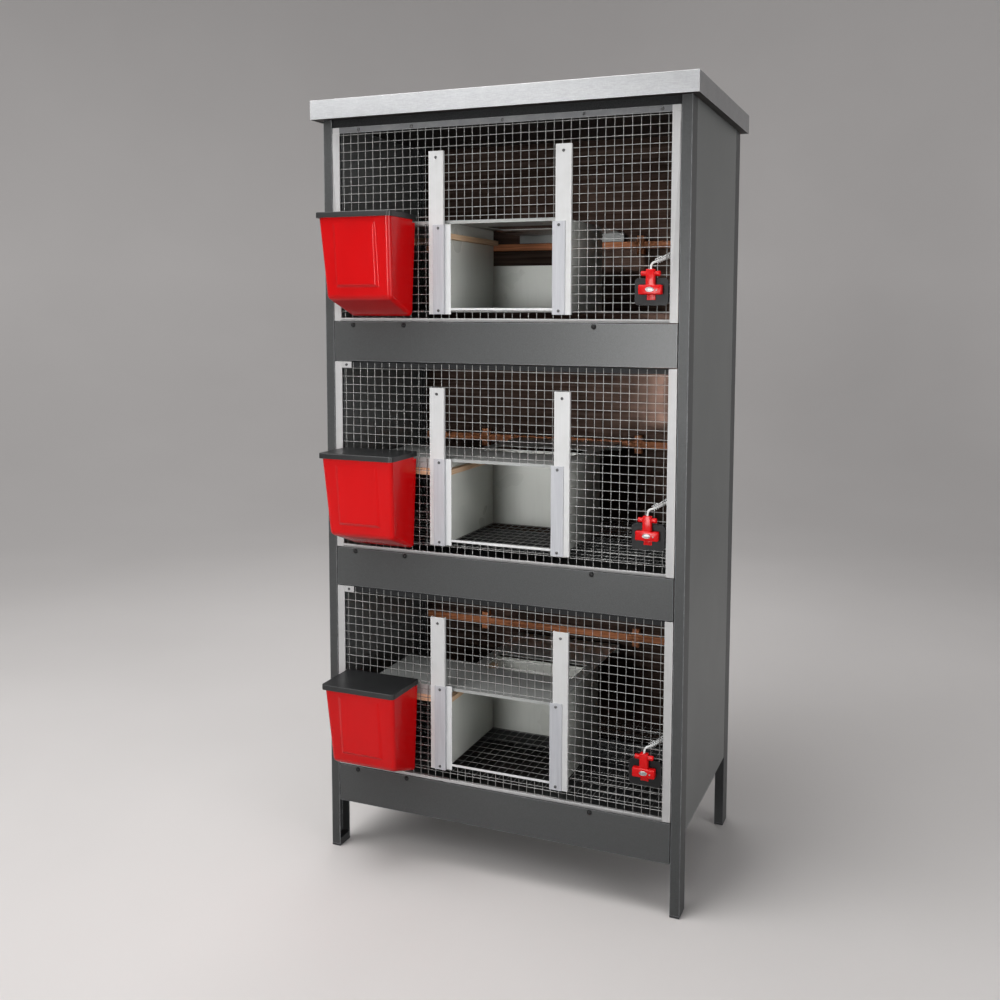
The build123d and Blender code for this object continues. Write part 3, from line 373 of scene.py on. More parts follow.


# The third colour of each coat and moulding is its edge tint: partly wear, partly a painted highlight.
FINISH = {
    # The side panels' coat is lighter than the posts' coat of the same paint, as painted light on their
    # outer sides; its dark tint on their inner faces is painted shade.
    "graphite": powder_coat("graphite_paint", srgb(93, 95, 94), srgb(97, 99, 98), srgb(166, 168, 170),
                            0.38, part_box("right_side_panel")[1].x - PANEL_SKIN),
    "drawer": powder_coat("drawer_paint", srgb(65, 66, 66), srgb(69, 70, 70), srgb(150, 152, 154), 0.31,
                          Specular_IOR_Level=0.34),
    "post": powder_coat("graphite_post", srgb(60, 61, 61), srgb(64, 65, 65), srgb(186, 188, 190), 0.4,
                        Specular_IOR_Level=0.25),
    # The rear posts get a darker copy of the graphite paint: painted shade.
    "rear": powder_coat("graphite_rear_painted_shade", srgb(44, 45, 46), srgb(49, 50, 51), srgb(120, 122, 124), 0.46),
    # The head rails under the roof's overhang get a near-black copy of the graphite paint: painted shade.
    "shade": powder_coat("graphite_rail_painted_shade", srgb(22, 22, 23), srgb(26, 26, 27), srgb(60, 61, 62), 0.5,
                         Specular_IOR_Level=0.1),
    "roof": roof_metal(),
    "plywood": roof_board(),
    "board": back_board(),
    "foot": moulded("foot_plastic", srgb(38, 38, 40), srgb(58, 58, 60), srgb(84, 84, 86), 0.5, 0.00003),
    "sheet": galvanised("galvanised_sheet", srgb(150, 151, 152), srgb(182, 183, 183), 0.012),
    "wire": galvanised("galvanised_wire", srgb(132, 132, 131), srgb(164, 164, 162), 0.006),
    "white": white_strip("white_rail", srgb(206, 206, 206), srgb(190, 190, 188)),
    "strip": white_strip("white_strip", srgb(186, 185, 185), srgb(168, 167, 166)),
    "guide": guide_metal(),
    "nest": nest_sheet("nest_sheet", srgb(211, 213, 207), srgb(217, 219, 213)),
    "plate": nest_sheet("nest_plate", srgb(160, 162, 160), srgb(167, 169, 167)),
    "wood": batten_wood(),
    "red": moulded("red_plastic", srgb(205, 8, 12), srgb(213, 12, 16), srgb(228, 50, 46), 0.22,
                   0.00001, Specular_IOR_Level=0.25),
    "black": moulded("black_plastic", srgb(26, 27, 28), srgb(36, 37, 38), srgb(104, 105, 107), 0.34,
                     0.00002),
    "cup": moulded("cup_plastic", srgb(22, 22, 23), srgb(30, 30, 31), srgb(88, 89, 91), 0.42, 0.00002,
                   Specular_IOR_Level=0.2),
    "knob": moulded("black_screw", srgb(9, 9, 10), srgb(17, 17, 18), srgb(44, 44, 46), 0.36, 0.00001,
                    Specular_IOR_Level=0.3),
    "hose": milky_hose(),
    "tie": galvanised("tie_wire", srgb(206, 207, 208), srgb(236, 236, 236), 0.004),
    "pad": plated("zinc_pad", srgb(120, 120, 122), srgb(188, 188, 186)),
    "screw": plated("zinc_screw", srgb(56, 56, 58), srgb(118, 118, 118)),
}


# Helpers for meshes, in metres and degrees; a screw's profile is shares of its radius

SAME_POINT = 0.000001
WELD_GAP = 0.00001
FLAT_ANGLE = 1
EDGE_ANGLE = 35
SEAT = 0.0002
PAN_HEAD = ((1.0, 0.25), (0.8, 0.5), (0.55, 0.58), (0.3, 0.2))
PAN_RECESS = (3, 0.5)


def dress(node, finish, edge=0.4):
    """Gives a CAD node its finish, and rounds its sharp edges by edge millimetres."""
    piece = NODES[node]
    for slot in piece.material_slots:
        slot.material = FINISH[finish]
    weld = piece.modifiers.new("weld", "WELD")
    weld.merge_threshold = WELD_GAP
    flat = piece.modifiers.new("flat", "DECIMATE")
    flat.decimate_type = "DISSOLVE"
    flat.angle_limit = math.radians(FLAT_ANGLE)
    bevel = piece.modifiers.new("edge", "BEVEL")
    bevel.width = edge * MM
    bevel.segments = 2
    bevel.limit_method = "ANGLE"
    bevel.angle_limit = math.radians(EDGE_ANGLE)
    normals = piece.modifiers.new("normals", "WEIGHTED_NORMAL")
    normals.keep_sharp = False


def make_piece(name, bm, finish, body, replaces=(), sharp=40):
    """Turns a bmesh into a piece that rides on a body."""
    bmesh.ops.recalc_face_normals(bm, faces=bm.faces)
    mesh = bpy.data.meshes.new(name)
    bm.to_mesh(mesh)
    bm.free()
    mesh.materials.append(FINISH[finish])
    mesh.shade_smooth()
    mesh.set_sharp_from_angle(angle=math.radians(sharp))
    piece = bpy.data.objects.new(name, mesh)
    bpy.context.scene.collection.objects.link(piece)
    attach(piece, body)
    if replaces:
        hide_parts(*replaces)
    return piece


def islands(node):
    """The lowest and highest corners of each separate solid in a CAD node."""
    bm = bmesh.new()
    bm.from_mesh(NODES[node].data)
    bmesh.ops.remove_doubles(bm, verts=bm.verts, dist=SAME_POINT)
    waiting = set(bm.verts)
    boxes = []
    while waiting:
        edge = [waiting.pop()]
        found = []
        while edge:
            vert = edge.pop()
            found.append(vert.co.copy())
            near = {e.other_vert(vert) for e in vert.link_edges} & waiting
            waiting -= near
            edge.extend(near)
        low = Vector([min(p[i] for p in found) for i in range(3)])
        high = Vector([max(p[i] for p in found) for i in range(3)])
        boxes.append((low, high))
    bm.free()
    return sorted(boxes, key=lambda box: tuple(round(v, 6) for v in (*box[0], *box[1])))


def bar(bm, points, radius, sides=6):
    """A round bar through points, closed at both ends."""
    side = (points[1] - points[0]).orthogonal().normalized()
    rings = []
    for i, point in enumerate(points):
        along = (points[min(i + 1, len(points) - 1)] - points[max(i - 1, 0)]).normalized()
        side = (side - along * side.dot(along)).normalized()
        up = along.cross(side)
        turns = [2 * math.pi * k / sides for k in range(sides)]
        rings.append([bm.verts.new(point + radius * (math.cos(t) * side + math.sin(t) * up))
                      for t in turns])
    for first, second in zip(rings, rings[1:]):
        for k in range(sides):
            n = (k + 1) % sides
            bm.faces.new((first[k], first[n], second[n], second[k]))
    bm.faces.new(list(reversed(rings[0])))
    bm.faces.new(rings[-1])


def bead(bm, centre, size):
    """A weld bead: an eight-sided nugget of the given half sizes."""
    tips = []
    for i in range(3):
        for sign in (-1, 1):
            tip = centre.copy()
            tip[i] += sign * size[i]
            tips.append(bm.verts.new(tip))
    for a in tips[0:2]:
        for b in tips[2:4]:
            for c in tips[4:6]:
                bm.faces.new((a, b, c))


def rounded_block(bm, low, high, radius, segments=3):
    """A box with all its edges rounded."""
    block = bmesh.new()
    bmesh.ops.create_cube(block, size=1.0)
    size = high - low
    for vert in block.verts:
        vert.co = low + Vector([(vert.co[i] + 0.5) * size[i] for i in range(3)])
    bmesh.ops.bevel(block, geom=list(block.edges), offset=radius, segments=segments, profile=0.5,
                    affect="EDGES", clamp_overlap=True)
    mesh = bpy.data.meshes.new("block")
    block.to_mesh(mesh)
    block.free()
    bm.from_mesh(mesh)
    bpy.data.meshes.remove(mesh)


def lathe(bm, profile, centre, facing, sides=20, recess=None):
    """A turned form: profile holds (radius, height) pairs from the rim to the crown.

    recess, where given, is the number of one ring and the share to which every other pair of that
    ring's points draws in, which makes a cross-shaped drive.
    """
    turn = facing.to_track_quat("Z", "Y").to_matrix()
    rings = []
    for i, (radius, height) in enumerate(profile):
        ring = []
        for k in range(sides):
            angle = 2 * math.pi * k / sides
            reach = radius
            if recess and i == recess[0] and (k // (sides // 8)) % 2:
                reach *= recess[1]
            point = Vector((reach * math.cos(angle), reach * math.sin(angle), height))
            ring.append(bm.verts.new(centre + turn @ point))
        rings.append(ring)
    for first, second in zip(rings, rings[1:]):
        for k in range(sides):
            n = (k + 1) % sides
            bm.faces.new((first[k], first[n], second[n], second[k]))
    bm.faces.new(rings[-1])
    bm.faces.new(list(reversed(rings[0])))


def screw_head(bm, centre, facing, radius):
    """A pan head with a cross recess, seated on a surface."""
    profile = [(radius, -SEAT)] + [(radius * share, radius * rise) for share, rise in PAN_HEAD]
    lathe(bm, profile, centre, facing, sides=16, recess=PAN_RECESS)


# Pieces that keep their CAD shape, with the rounding of their edges in millimetres

for side in ("left", "right"):
    dress(f"{side}_side_panel", "graphite", 1.2)
    dress(f"front_{side}_post", "post", 0.8)
    dress(f"rear_{side}_post", "rear", 0.8)
dress("head_rails", "shade", 0.4)
dress("foot_caps", "foot", 1.2)
dress("back_panel", "board", 0.5)
dress("roof_tray", "roof", 0.7)
dress("roof_board", "plywood", 0.5)
dress("drawer_runners", "sheet", 0.3)
for tier in TIERS:
    dress(f"{tier}_front_strips", "strip", 0.4)
    dress(f"{tier}_door_rails", "white", 0.5)
    dress(f"{tier}_door_guides", "guide", 0.4)
    dress(f"{tier}_nest_box", "nest", 0.3)
    dress(f"{tier}_nest_top", "plate", 0.3)
    dress(f"{tier}_battens", "wood", 0.8)
    dress(f"{tier}_drawer", "drawer", 0.5)
    dress(f"{tier}_feeder_lid", "black", 0.6)
    dress(f"{tier}_drinker_cup", "cup", 0.5)
    dress(f"{tier}_drinker_trigger", "red", 0.4)


# Welded mesh: each wire round and a little uneven, with a weld at each crossing, in metres

WIRE_STEP = 0.038
WIRE_WANDER = 0.00022
WIRE_SIDES = 6
WIRE_SHARE = 0.74
WELD = 0.00095
WELD_RANGE = (0.85, 1.25)


def wire_axis(box):
    """The number of the axis that a wire runs along."""
    size = box[1] - box[0]
    return max(range(3), key=lambda i: size[i])


def wire_points(box, chance):
    """A wire's middle line, which wanders a little between its two ends."""
    low, high = box
    axis = wire_axis(box)
    middle = (low + high) / 2
    steps = max(1, round((high[axis] - low[axis]) / WIRE_STEP))
    points = []
    for i in range(steps + 1):
        point = middle.copy()
        point[axis] = low[axis] + (high[axis] - low[axis]) * i / steps
        for across in range(3):
            if across != axis and 0 < i < steps:
                point[across] += chance.uniform(-WIRE_WANDER, WIRE_WANDER)
        points.append(point)
    return points


def welds(boxes):
    """Where a wire that runs along X meets one that runs another way."""
    rows = [box for box in boxes if wire_axis(box) == 0]
    columns = [box for box in boxes if wire_axis(box) != 0]
    for row in rows:
        for column in columns:
            axis = wire_axis(column)
            x = (column[0].x + column[1].x) / 2
            height = (row[0][axis] + row[1][axis]) / 2
            if row[0].x <= x <= row[1].x and column[0][axis] <= height <= column[1][axis]:
                centre = (row[0] + row[1] + column[0] + column[1]) / 4
                centre.x = x
                centre[axis] = height
                yield centre


def wire_mesh(node):
    """Round wires in place of a CAD node's square ones, with their welds."""
    boxes = islands(node)
    chance = random.Random(node)
    bm = bmesh.new()
    for box in boxes:
        radius = min(box[1] - box[0]) / 2 * WIRE_SHARE
        bar(bm, wire_points(box, chance), radius, WIRE_SIDES)
    for centre in welds(boxes):
        grown = WELD * chance.uniform(*WELD_RANGE)
        bead(bm, centre, (grown, grown, grown))
    make_piece(f"{node}_wires", bm, "wire", "cabinet", (node,), sharp=70)


for tier in TIERS:
    wire_mesh(f"{tier}_front_mesh")
    wire_mesh(f"{tier}_floor_mesh")


# Feeder hopper: a moulded shell with rounded corners and a raised front panel, sizes in millimetres

HOPPER_TOP = 236.0
HOPPER_HALF_TOP = 89.0
HOPPER_HALF_FOOT = 80.0
HOPPER_REAR = 2.0
HOPPER_FRONT_TOP = -117.0
HOPPER_FRONT_FOOT = -96.0
HOPPER_FOOT = 51.0
HOPPER_REAR_FOOT = 14.0
HOPPER_REAR_TOP = 221.0
HOPPER_ROUND = 10.0
HOPPER_WALL = 2.5
HINGE = (-10.5, 231.0)
EAR = 5.0
EAR_STEPS = 8
PANEL_HALF = 53.0
PANEL_FOOT = 76.0
PANEL_TOP = 216.0
PANEL_PROUD_FOOT = 5.5
PANEL_PROUD_TOP = 0.5
PANEL_SLOPE = 6.0
TROUGH_HALF = 55.0
TROUGH_REAR = 46.0
TROUGH_FOOT = 27.5
TROUGH_TOP = 67.5
MOUTH_HALF = 52.5
MOUTH_TOP = 83.5
PANEL_RIM = 1.0
HOPPER_LIP = 0.5
LIP_ANGLE = 50


def hopper_half(z):
    """Half of the width at the height z."""
    share = (z - HOPPER_REAR_FOOT) / (HOPPER_TOP - HOPPER_REAR_FOOT)
    return HOPPER_HALF_FOOT + share * (HOPPER_HALF_TOP - HOPPER_HALF_FOOT)


def hopper_front(z):
    """Where the sloped front is at the height z."""
    share = (z - HOPPER_FOOT) / (HOPPER_TOP - HOPPER_FOOT)
    return HOPPER_FRONT_FOOT + share * (HOPPER_FRONT_TOP - HOPPER_FRONT_FOOT)


def hopper_outline():
    """The side wall as (y, z): down the front, along the foot, up the rear, round the hinge ear."""
    outline = [(HOPPER_FRONT_TOP, HOPPER_TOP), (HOPPER_FRONT_FOOT, HOPPER_FOOT),
               (HOPPER_REAR, HOPPER_REAR_FOOT), (HOPPER_REAR, HOPPER_REAR_TOP),
               (HINGE[0], HOPPER_REAR_TOP)]
    for i in range(EAR_STEPS + 1):
        angle = math.pi * (i / EAR_STEPS - 0.5)
        outline.append((HINGE[0] + EAR * math.cos(angle), HINGE[1] + EAR * math.sin(angle)))
    return outline


def raise_panel(bm, face, tier):
    """Replaces the flat front face by a border, a sloped step and the raised panel."""
    corners = list(face.verts)
    bm.faces.remove(face)
    loops = []
    for inset, proud_foot, proud_top in ((0, 0, 0), (PANEL_SLOPE, PANEL_PROUD_FOOT, PANEL_PROUD_TOP)):
        loop = []
        for sx, z, proud in ((-1, PANEL_TOP - inset, proud_top), (-1, PANEL_FOOT + inset, proud_foot),
                             (1, PANEL_FOOT + inset, proud_foot), (1, PANEL_TOP - inset, proud_top)):
            x = FEEDER_X / MM + sx * (PANEL_HALF - inset)
            loop.append(bm.verts.new(spot(tier, x, hopper_front(z) - proud, z)))
        loops.append(loop)
    base, crown = loops

    def corner(sx, top):
        best = max if top else min
        own = [v for v in corners if (v.co.x - FEEDER_X) * sx > 0]
        return best(own, key=lambda v: v.co.z)

    border = [corner(-1, True), corner(-1, False), corner(1, False), corner(1, True)]
    for outer, inner in ((border, base), (base, crown)):
        for k in range(4):
            n = (k + 1) % 4
            bm.faces.new((outer[k], outer[n], inner[n], inner[k]))
    bm.faces.new(crown)
    rims = [e for e in bm.edges if e.verts[0] in base + crown and e.verts[1] in base + crown]
    bmesh.ops.bevel(bm, geom=rims, offset=PANEL_RIM * MM, segments=3, profile=0.5, affect="EDGES",
                    clamp_overlap=True)


def open_mouth(bm, face, tier):
    """Cuts the feeding mouth through the rear wall, low down."""
    rim = list(face.edges)
    bm.faces.remove(face)
    x = FEEDER_X / MM
    low = TROUGH_FOOT + HOPPER_WALL
    corners = [(x - MOUTH_HALF, low), (x + MOUTH_HALF, low), (x + MOUTH_HALF, MOUTH_TOP),
               (x - MOUTH_HALF, MOUTH_TOP)]
    verts = [bm.verts.new(spot(tier, cx, HOPPER_REAR, cz)) for cx, cz in corners]
    mouth = [bm.edges.new((verts[k], verts[(k + 1) % 4])) for k in range(4)]
    bmesh.ops.triangle_fill(bm, edges=rim + mouth, use_beauty=True)


def hopper(tier):
    """The shell's outer faces, the trough behind them, and the wall that grows inwards from both."""
    bm = bmesh.new()
    outline = hopper_outline()
    x = FEEDER_X / MM
    walls = []
    for sign in (-1, 1):
        walls.append([bm.verts.new(spot(tier, x + sign * hopper_half(z), y, z)) for y, z in outline])
    left, right = walls
    bm.faces.new(left)
    bm.faces.new(list(reversed(right)))
    front = bm.faces.new((left[0], right[0], right[1], left[1]))
    bm.faces.new((left[1], right[1], right[2], left[2]))
    rear = bm.faces.new((left[2], right[2], right[3], left[3]))
    ends = [(wall[0], wall[1]) for wall in walls] + [(wall[1], wall[2]) for wall in walls]
    rounded = [bm.edges.get(pair) for pair in ends + [(left[1], right[1])]]
    # These marks tell the two flat faces from the rounded corners, and are taken off again below
    front.material_index = 1
    rear.material_index = 2
    bmesh.ops.bevel(bm, geom=rounded, offset=HOPPER_ROUND * MM, segments=6, profile=0.5,
                    affect="EDGES", clamp_overlap=False, material=0)
    flat_front = max((f for f in bm.faces if f.material_index == 1), key=lambda f: f.calc_area())
    raise_panel(bm, flat_front, tier)
    flat_rear = max((f for f in bm.faces if f.material_index == 2), key=lambda f: f.calc_area())
    open_mouth(bm, flat_rear, tier)
    low = spot(tier, x - TROUGH_HALF, HOPPER_REAR, TROUGH_FOOT)
    high = spot(tier, x + TROUGH_HALF, TROUGH_REAR, TROUGH_TOP)
    corners = [Vector((cx, cy, cz)) for cz in (low.z, high.z)
               for cx, cy in ((low.x, low.y), (low.x, high.y), (high.x, high.y), (high.x, low.y))]
    verts = [bm.verts.new(corner) for corner in corners]
    for face in ((0, 1, 2, 3), (0, 1, 5, 4), (1, 2, 6, 5), (2, 3, 7, 6)):
        bm.faces.new([verts[k] for k in face])
    for face in bm.faces:
        face.material_index = 0
    piece = make_piece(f"{tier}_hopper_shell", bm, "red", "cabinet",
                       (f"{tier}_feeder_hopper",))
    shell = piece.modifiers.new("wall", "SOLIDIFY")
    shell.thickness = HOPPER_WALL * MM
    shell.offset = -1.0
    shell.use_even_offset = True
    # Short edges hold this lip far under its named width, so the rims stay crisp
    lip = piece.modifiers.new("lip", "BEVEL")
    lip.width = HOPPER_LIP * MM
    lip.segments = 2
    lip.limit_method = "ANGLE"
    lip.angle_limit = math.radians(LIP_ANGLE)
    normals = piece.modifiers.new("normals", "WEIGHTED_NORMAL")
    normals.keep_sharp = False


for tier in TIERS:
    hopper(tier)


# Drinker valve, hose and tie, sizes in millimetres from the valve's middle and the cup plate's foot

VALVE_FACE = -1.0
# Half width, depth, foot and top
VALVE_BAR = (24.5, 15.0, 22.0, 42.0)
BAR_ROUND = 2.4
VALVE_STEM = (9.0, 13.0, 28.0, 74.0)
STEM_PROUD = 0.6
STEM_ROUND = 1.6
# Half length, radius and height; each end as shares of the radius and distances from the tip
VALVE_HANDLE = (20.5, 5.5, 65.0)
HANDLE_END = ((0.6, 0.0), (0.92, 0.8), (1.0, 2.4), (0.93, 9.0))
# Inner and outer half widths, depth, foot and top, with a web between the two prongs
VALVE_FORK = (5.0, 9.0, 3.0, 11.0, 24.0)
FORK_ROUND = 1.0
WEB_DEPTH = 1.4
WEB_LAP = 1.0
WEB_ROUND = 0.6
# Half width, half height and height of the oval pad
VALVE_PAD = (8.0, 4.2, 32.5)
PAD_SIDES = 28
PAD_INSET = 1.0
PAD_CROWN = 2.2
PAD_SUNK = 0.2
PAD_SHOULDER = 0.32
PAD_PROUD = 0.48
PAD_RIM = 0.8
PAD_RIM_PROUD = 0.3
# Distance to the right, height and radius; its profile as shares of the radius and heights
VALVE_PIN = (14.5, 31.5, 2.2)
PIN_PROFILE = ((1.0, -0.2), (1.0, 0.5), (0.7, 0.9))
PIN_SCREW = 1.6
PIN_SCREW_PROUD = 0.7
HOSE_RADIUS = 2.2
HOSE_ROUTE = ((0.0, -7.5, 74.0), (0.0, -7.5, 86.0), (13.0, -4.0, 90.0), (27.0, 12.0, 95.0),
              (48.0, 27.0, 109.0), (78.0, 27.0, 109.0))
TIE_TURNS = 4
TIE_STEPS = 14
TIE_WIRE = 0.85
TIE_REACH = 5.0
TIE_SWELL = 0.8
TIE_WAVES = 3
TIE_JITTER = 0.2
TIE_ENDS = ((11.0, -4.0, 90.0), (38.0, 18.0, 104.0))


def ellipse_ring(bm, centre, half_width, half_height, wire):
    """A raised oval rim on the face of the valve."""
    turns = [2 * math.pi * k / PAD_SIDES for k in range(PAD_SIDES + 1)]
    bar(bm, [centre + Vector((half_width * math.cos(t), 0, half_height * math.sin(t))) for t in turns],
        wire)


def valve(tier):
    """The red valve body with its handle, fork and pin, and the plated pad and screw on its face."""
    bm = bmesh.new()
    half, depth, low, high = VALVE_BAR
    rounded_block(bm, cup_spot(tier, -half, VALVE_FACE - depth, low),
                  cup_spot(tier, half, VALVE_FACE, high), BAR_ROUND * MM)
    half, depth, low, high = VALVE_STEM
    rounded_block(bm, cup_spot(tier, -half, VALVE_FACE - depth - STEM_PROUD, low),
                  cup_spot(tier, half, VALVE_FACE, high), STEM_ROUND * MM)
    reach, radius, height = VALVE_HANDLE
    centre = cup_spot(tier, -reach, VALVE_FACE - VALVE_STEM[1] / 2, height)
    near_end = [(radius * share, along) for share, along in HANDLE_END]
    far_end = [(r, 2 * reach - along) for r, along in reversed(near_end)]
    lathe(bm, [(r * MM, h * MM) for r, h in near_end + far_end], centre, Vector((1, 0, 0)))
    inner, outer, depth, low, high = VALVE_FORK
    for sign in (-1, 1):
        near, far = sorted((sign * inner, sign * outer))
        rounded_block(bm, cup_spot(tier, near, VALVE_FACE - depth, low),
                      cup_spot(tier, far, VALVE_FACE, high), FORK_ROUND * MM)
    web = inner + WEB_LAP
    rounded_block(bm, cup_spot(tier, -web, VALVE_FACE - WEB_DEPTH, low),
                  cup_spot(tier, web, VALVE_FACE, high), WEB_ROUND * MM)
    face = VALVE_FACE - VALVE_BAR[1]
    across, height, radius = VALVE_PIN
    lathe(bm, [(radius * share * MM, rise * MM) for share, rise in PIN_PROFILE],
          cup_spot(tier, across, face, height), OUT, sides=14)
    make_piece(f"{tier}_valve_body", bm, "red", "cabinet",
               (f"{tier}_drinker_valve",))
    bm = bmesh.new()
    wide, tall, height = VALVE_PAD
    edge = wide - PAD_INSET
    pad = [(edge, -PAD_SUNK), (edge, PAD_SHOULDER), (wide - PAD_CROWN, PAD_PROUD)]
    middle = cup_spot(tier, 0, face, height)
    lathe(bm, [(r * MM, h * MM) for r, h in pad], middle, OUT, sides=PAD_SIDES)
    for vert in bm.verts:
        vert.co.z = middle.z + (vert.co.z - middle.z) * (tall - PAD_INSET) / edge
    ellipse_ring(bm, cup_spot(tier, 0, face - PAD_RIM_PROUD, height), wide * MM, tall * MM, PAD_RIM * MM)
    screw_head(bm, cup_spot(tier, across, face - PIN_SCREW_PROUD, VALVE_PIN[1]), OUT, PIN_SCREW * MM)
    make_piece(f"{tier}_valve_rim", bm, "pad", "cabinet")


def hose(tier):
    """The white hose, held by the valve, the mesh and the post."""
    curve = bpy.data.curves.new(f"{tier}_hose", "CURVE")
    curve.dimensions = "3D"
    curve.bevel_depth = HOSE_RADIUS * MM
    curve.bevel_resolution = 5
    curve.resolution_u = 12
    curve.use_fill_caps = True
    spline = curve.splines.new("NURBS")
    spline.points.add(len(HOSE_ROUTE) - 1)
    for point, (dx, y, z) in zip(spline.points, HOSE_ROUTE):
        point.co = (*cup_spot(tier, dx, y, z), 1.0)
    spline.order_u = 3
    spline.use_endpoint_u = True
    curve.materials.append(FINISH["hose"])
    piece = bpy.data.objects.new(f"{tier}_hose", curve)
    bpy.context.scene.collection.objects.link(piece)
    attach(piece, "cabinet")
    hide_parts(f"{tier}_water_tube")


def wire_tie(tier):
    """Two strands of soft wire twisted round each other, tying the hose to the mesh."""
    chance = random.Random(f"{tier}_tie")
    start, end = [cup_spot(tier, dx, y, z) for dx, y, z in TIE_ENDS]
    along = (end - start).normalized()
    side = along.orthogonal().normalized()
    up = along.cross(side)
    bm = bmesh.new()
    for phase in (0.0, math.pi):
        points = []
        count = TIE_TURNS * TIE_STEPS
        for i in range(count + 1):
            share = i / count
            angle = phase + 2 * math.pi * TIE_TURNS * share
            swell = TIE_SWELL * math.sin(math.pi * share * TIE_WAVES)
            reach = (TIE_REACH + swell + chance.uniform(-TIE_JITTER, TIE_JITTER)) * MM
            points.append(start.lerp(end, share) + reach * (math.cos(angle) * side + math.sin(angle) * up))
        bar(bm, points, TIE_WIRE * MM)
    make_piece(f"{tier}_wire_tie", bm, "tie", "cabinet")


for tier in TIERS:
    valve(tier)
    hose(tier)
    wire_tie(tier)


# Screws and knobs, in metres; a profile is shares of the radius and the height

SCREW = 3.2 * MM
HEAD_SCREW = SCREW * 1.2
STRIP_SCREW = SCREW * 0.8
HEAD_SCREWS = (-338.0, -203.0, 16.0, 201.0, 368.0)
HEAD_SCREW_DROP = 6.5 * MM
RAIL_SCREW_DROP = 14.0 * MM
GUIDE_SCREW_DROP = 8.0 * MM
STRIP_SCREW_RISE = 10.0 * MM
STRIP_SCREW_ABOVE_CUP = 110.0 * MM
LEFT_GUIDE_SCREW_IN = 13.5 * MM
RIGHT_GUIDE_SCREW_IN = 14.5 * MM
CLIP_WIDE = 40.0 * MM
CLIP_TALL = 30.0 * MM
STRIP_TALL = 100.0 * MM
KNOB_PROFILE = ((0.92, -0.02), (1.0, 0.12), (1.0, 0.3), (0.86, 0.68), (0.55, 0.92), (0.2, 1.0))


def knobs(tier):
    """Domed drawer knobs."""
    bm = bmesh.new()
    for low, high in islands(f"{tier}_drawer_knobs"):
        radius = (high.x - low.x) / 2
        height = high.y - low.y
        profile = [(radius * share, height * rise) for share, rise in KNOB_PROFILE]
        lathe(bm, profile, Vector(((low.x + high.x) / 2, high.y, (low.z + high.z) / 2)), OUT, sides=24)
    make_piece(f"{tier}_knobs", bm, "knob", f"{tier}_drawer_unit",
               (f"{tier}_drawer_knobs",), sharp=60)


def front_screws():
    """Heads on the rails, the guides, the corner clips, the right strips and the head strip."""
    bm = bmesh.new()
    for tier in TIERS:
        for low, high in islands(f"{tier}_door_rails"):
            centre = Vector(((low.x + high.x) / 2, low.y, high.z - RAIL_SCREW_DROP))
            screw_head(bm, centre, OUT, SCREW)
        for low, high in islands(f"{tier}_door_guides"):
            if high.z - low.z > high.x - low.x:
                plate_x = low.x + (LEFT_GUIDE_SCREW_IN if low.x < 0 else RIGHT_GUIDE_SCREW_IN)
                for z in (low.z + GUIDE_SCREW_DROP, high.z - GUIDE_SCREW_DROP):
                    screw_head(bm, Vector((plate_x, low.y, z)), OUT, SCREW)
        for low, high in islands(f"{tier}_front_strips"):
            if high.x - low.x < CLIP_WIDE and high.z - low.z < CLIP_TALL:
                screw_head(bm, (low + high) / 2 + OUT * (high.y - low.y) / 2, OUT, SCREW)
            elif low.x > 0 and high.z - low.z > STRIP_TALL:
                for z in (low.z + STRIP_SCREW_RISE, CUP_FOOT[tier] + STRIP_SCREW_ABOVE_CUP):
                    screw_head(bm, Vector(((low.x + high.x) / 2, low.y, z)), OUT, STRIP_SCREW)
    low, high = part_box("upper_front_strips")
    for x in HEAD_SCREWS:
        screw_head(bm, Vector((x * MM, low.y, high.z - HEAD_SCREW_DROP)), OUT, HEAD_SCREW)
    make_piece("front_screws", bm, "screw", "cabinet")


for tier in TIERS:
    knobs(tier)
front_screws()


# Stage, light and camera, in metres, watts and degrees

STUDIO_RADIUS = 3.6
STUDIO_RINGS = (0.02, 0.1, 0.25, 0.5, 0.75, 1.0)
STUDIO_CURVE = 4.2
STUDIO_STEPS = 12
STUDIO_HEIGHT = 7.0
STUDIO_SIDES = 96
STUDIO_BOUNCE = (96, 95, 94)
STUDIO_GLOW = 0.1
GLOW_TINT = srgb(255, 250, 248)
GLOW_HEIGHT = 1.6
FRONT_WALL = (-4.0, 1.0)
MIDDLE = (0.0, 0.0, 0.9)
SKY = srgb(205, 205, 207)
SKY_STRENGTH = 0.45
CAMERA_PLACE = (0.936, -2.336, 1.289)
CAMERA_TURN = 21.77
CAMERA_DROP = 5.04
CAMERA_ROLL = 0.22
CAMERA_LENS = 38.466
CAMERA_SHIFT = (-0.0292, -0.0925)


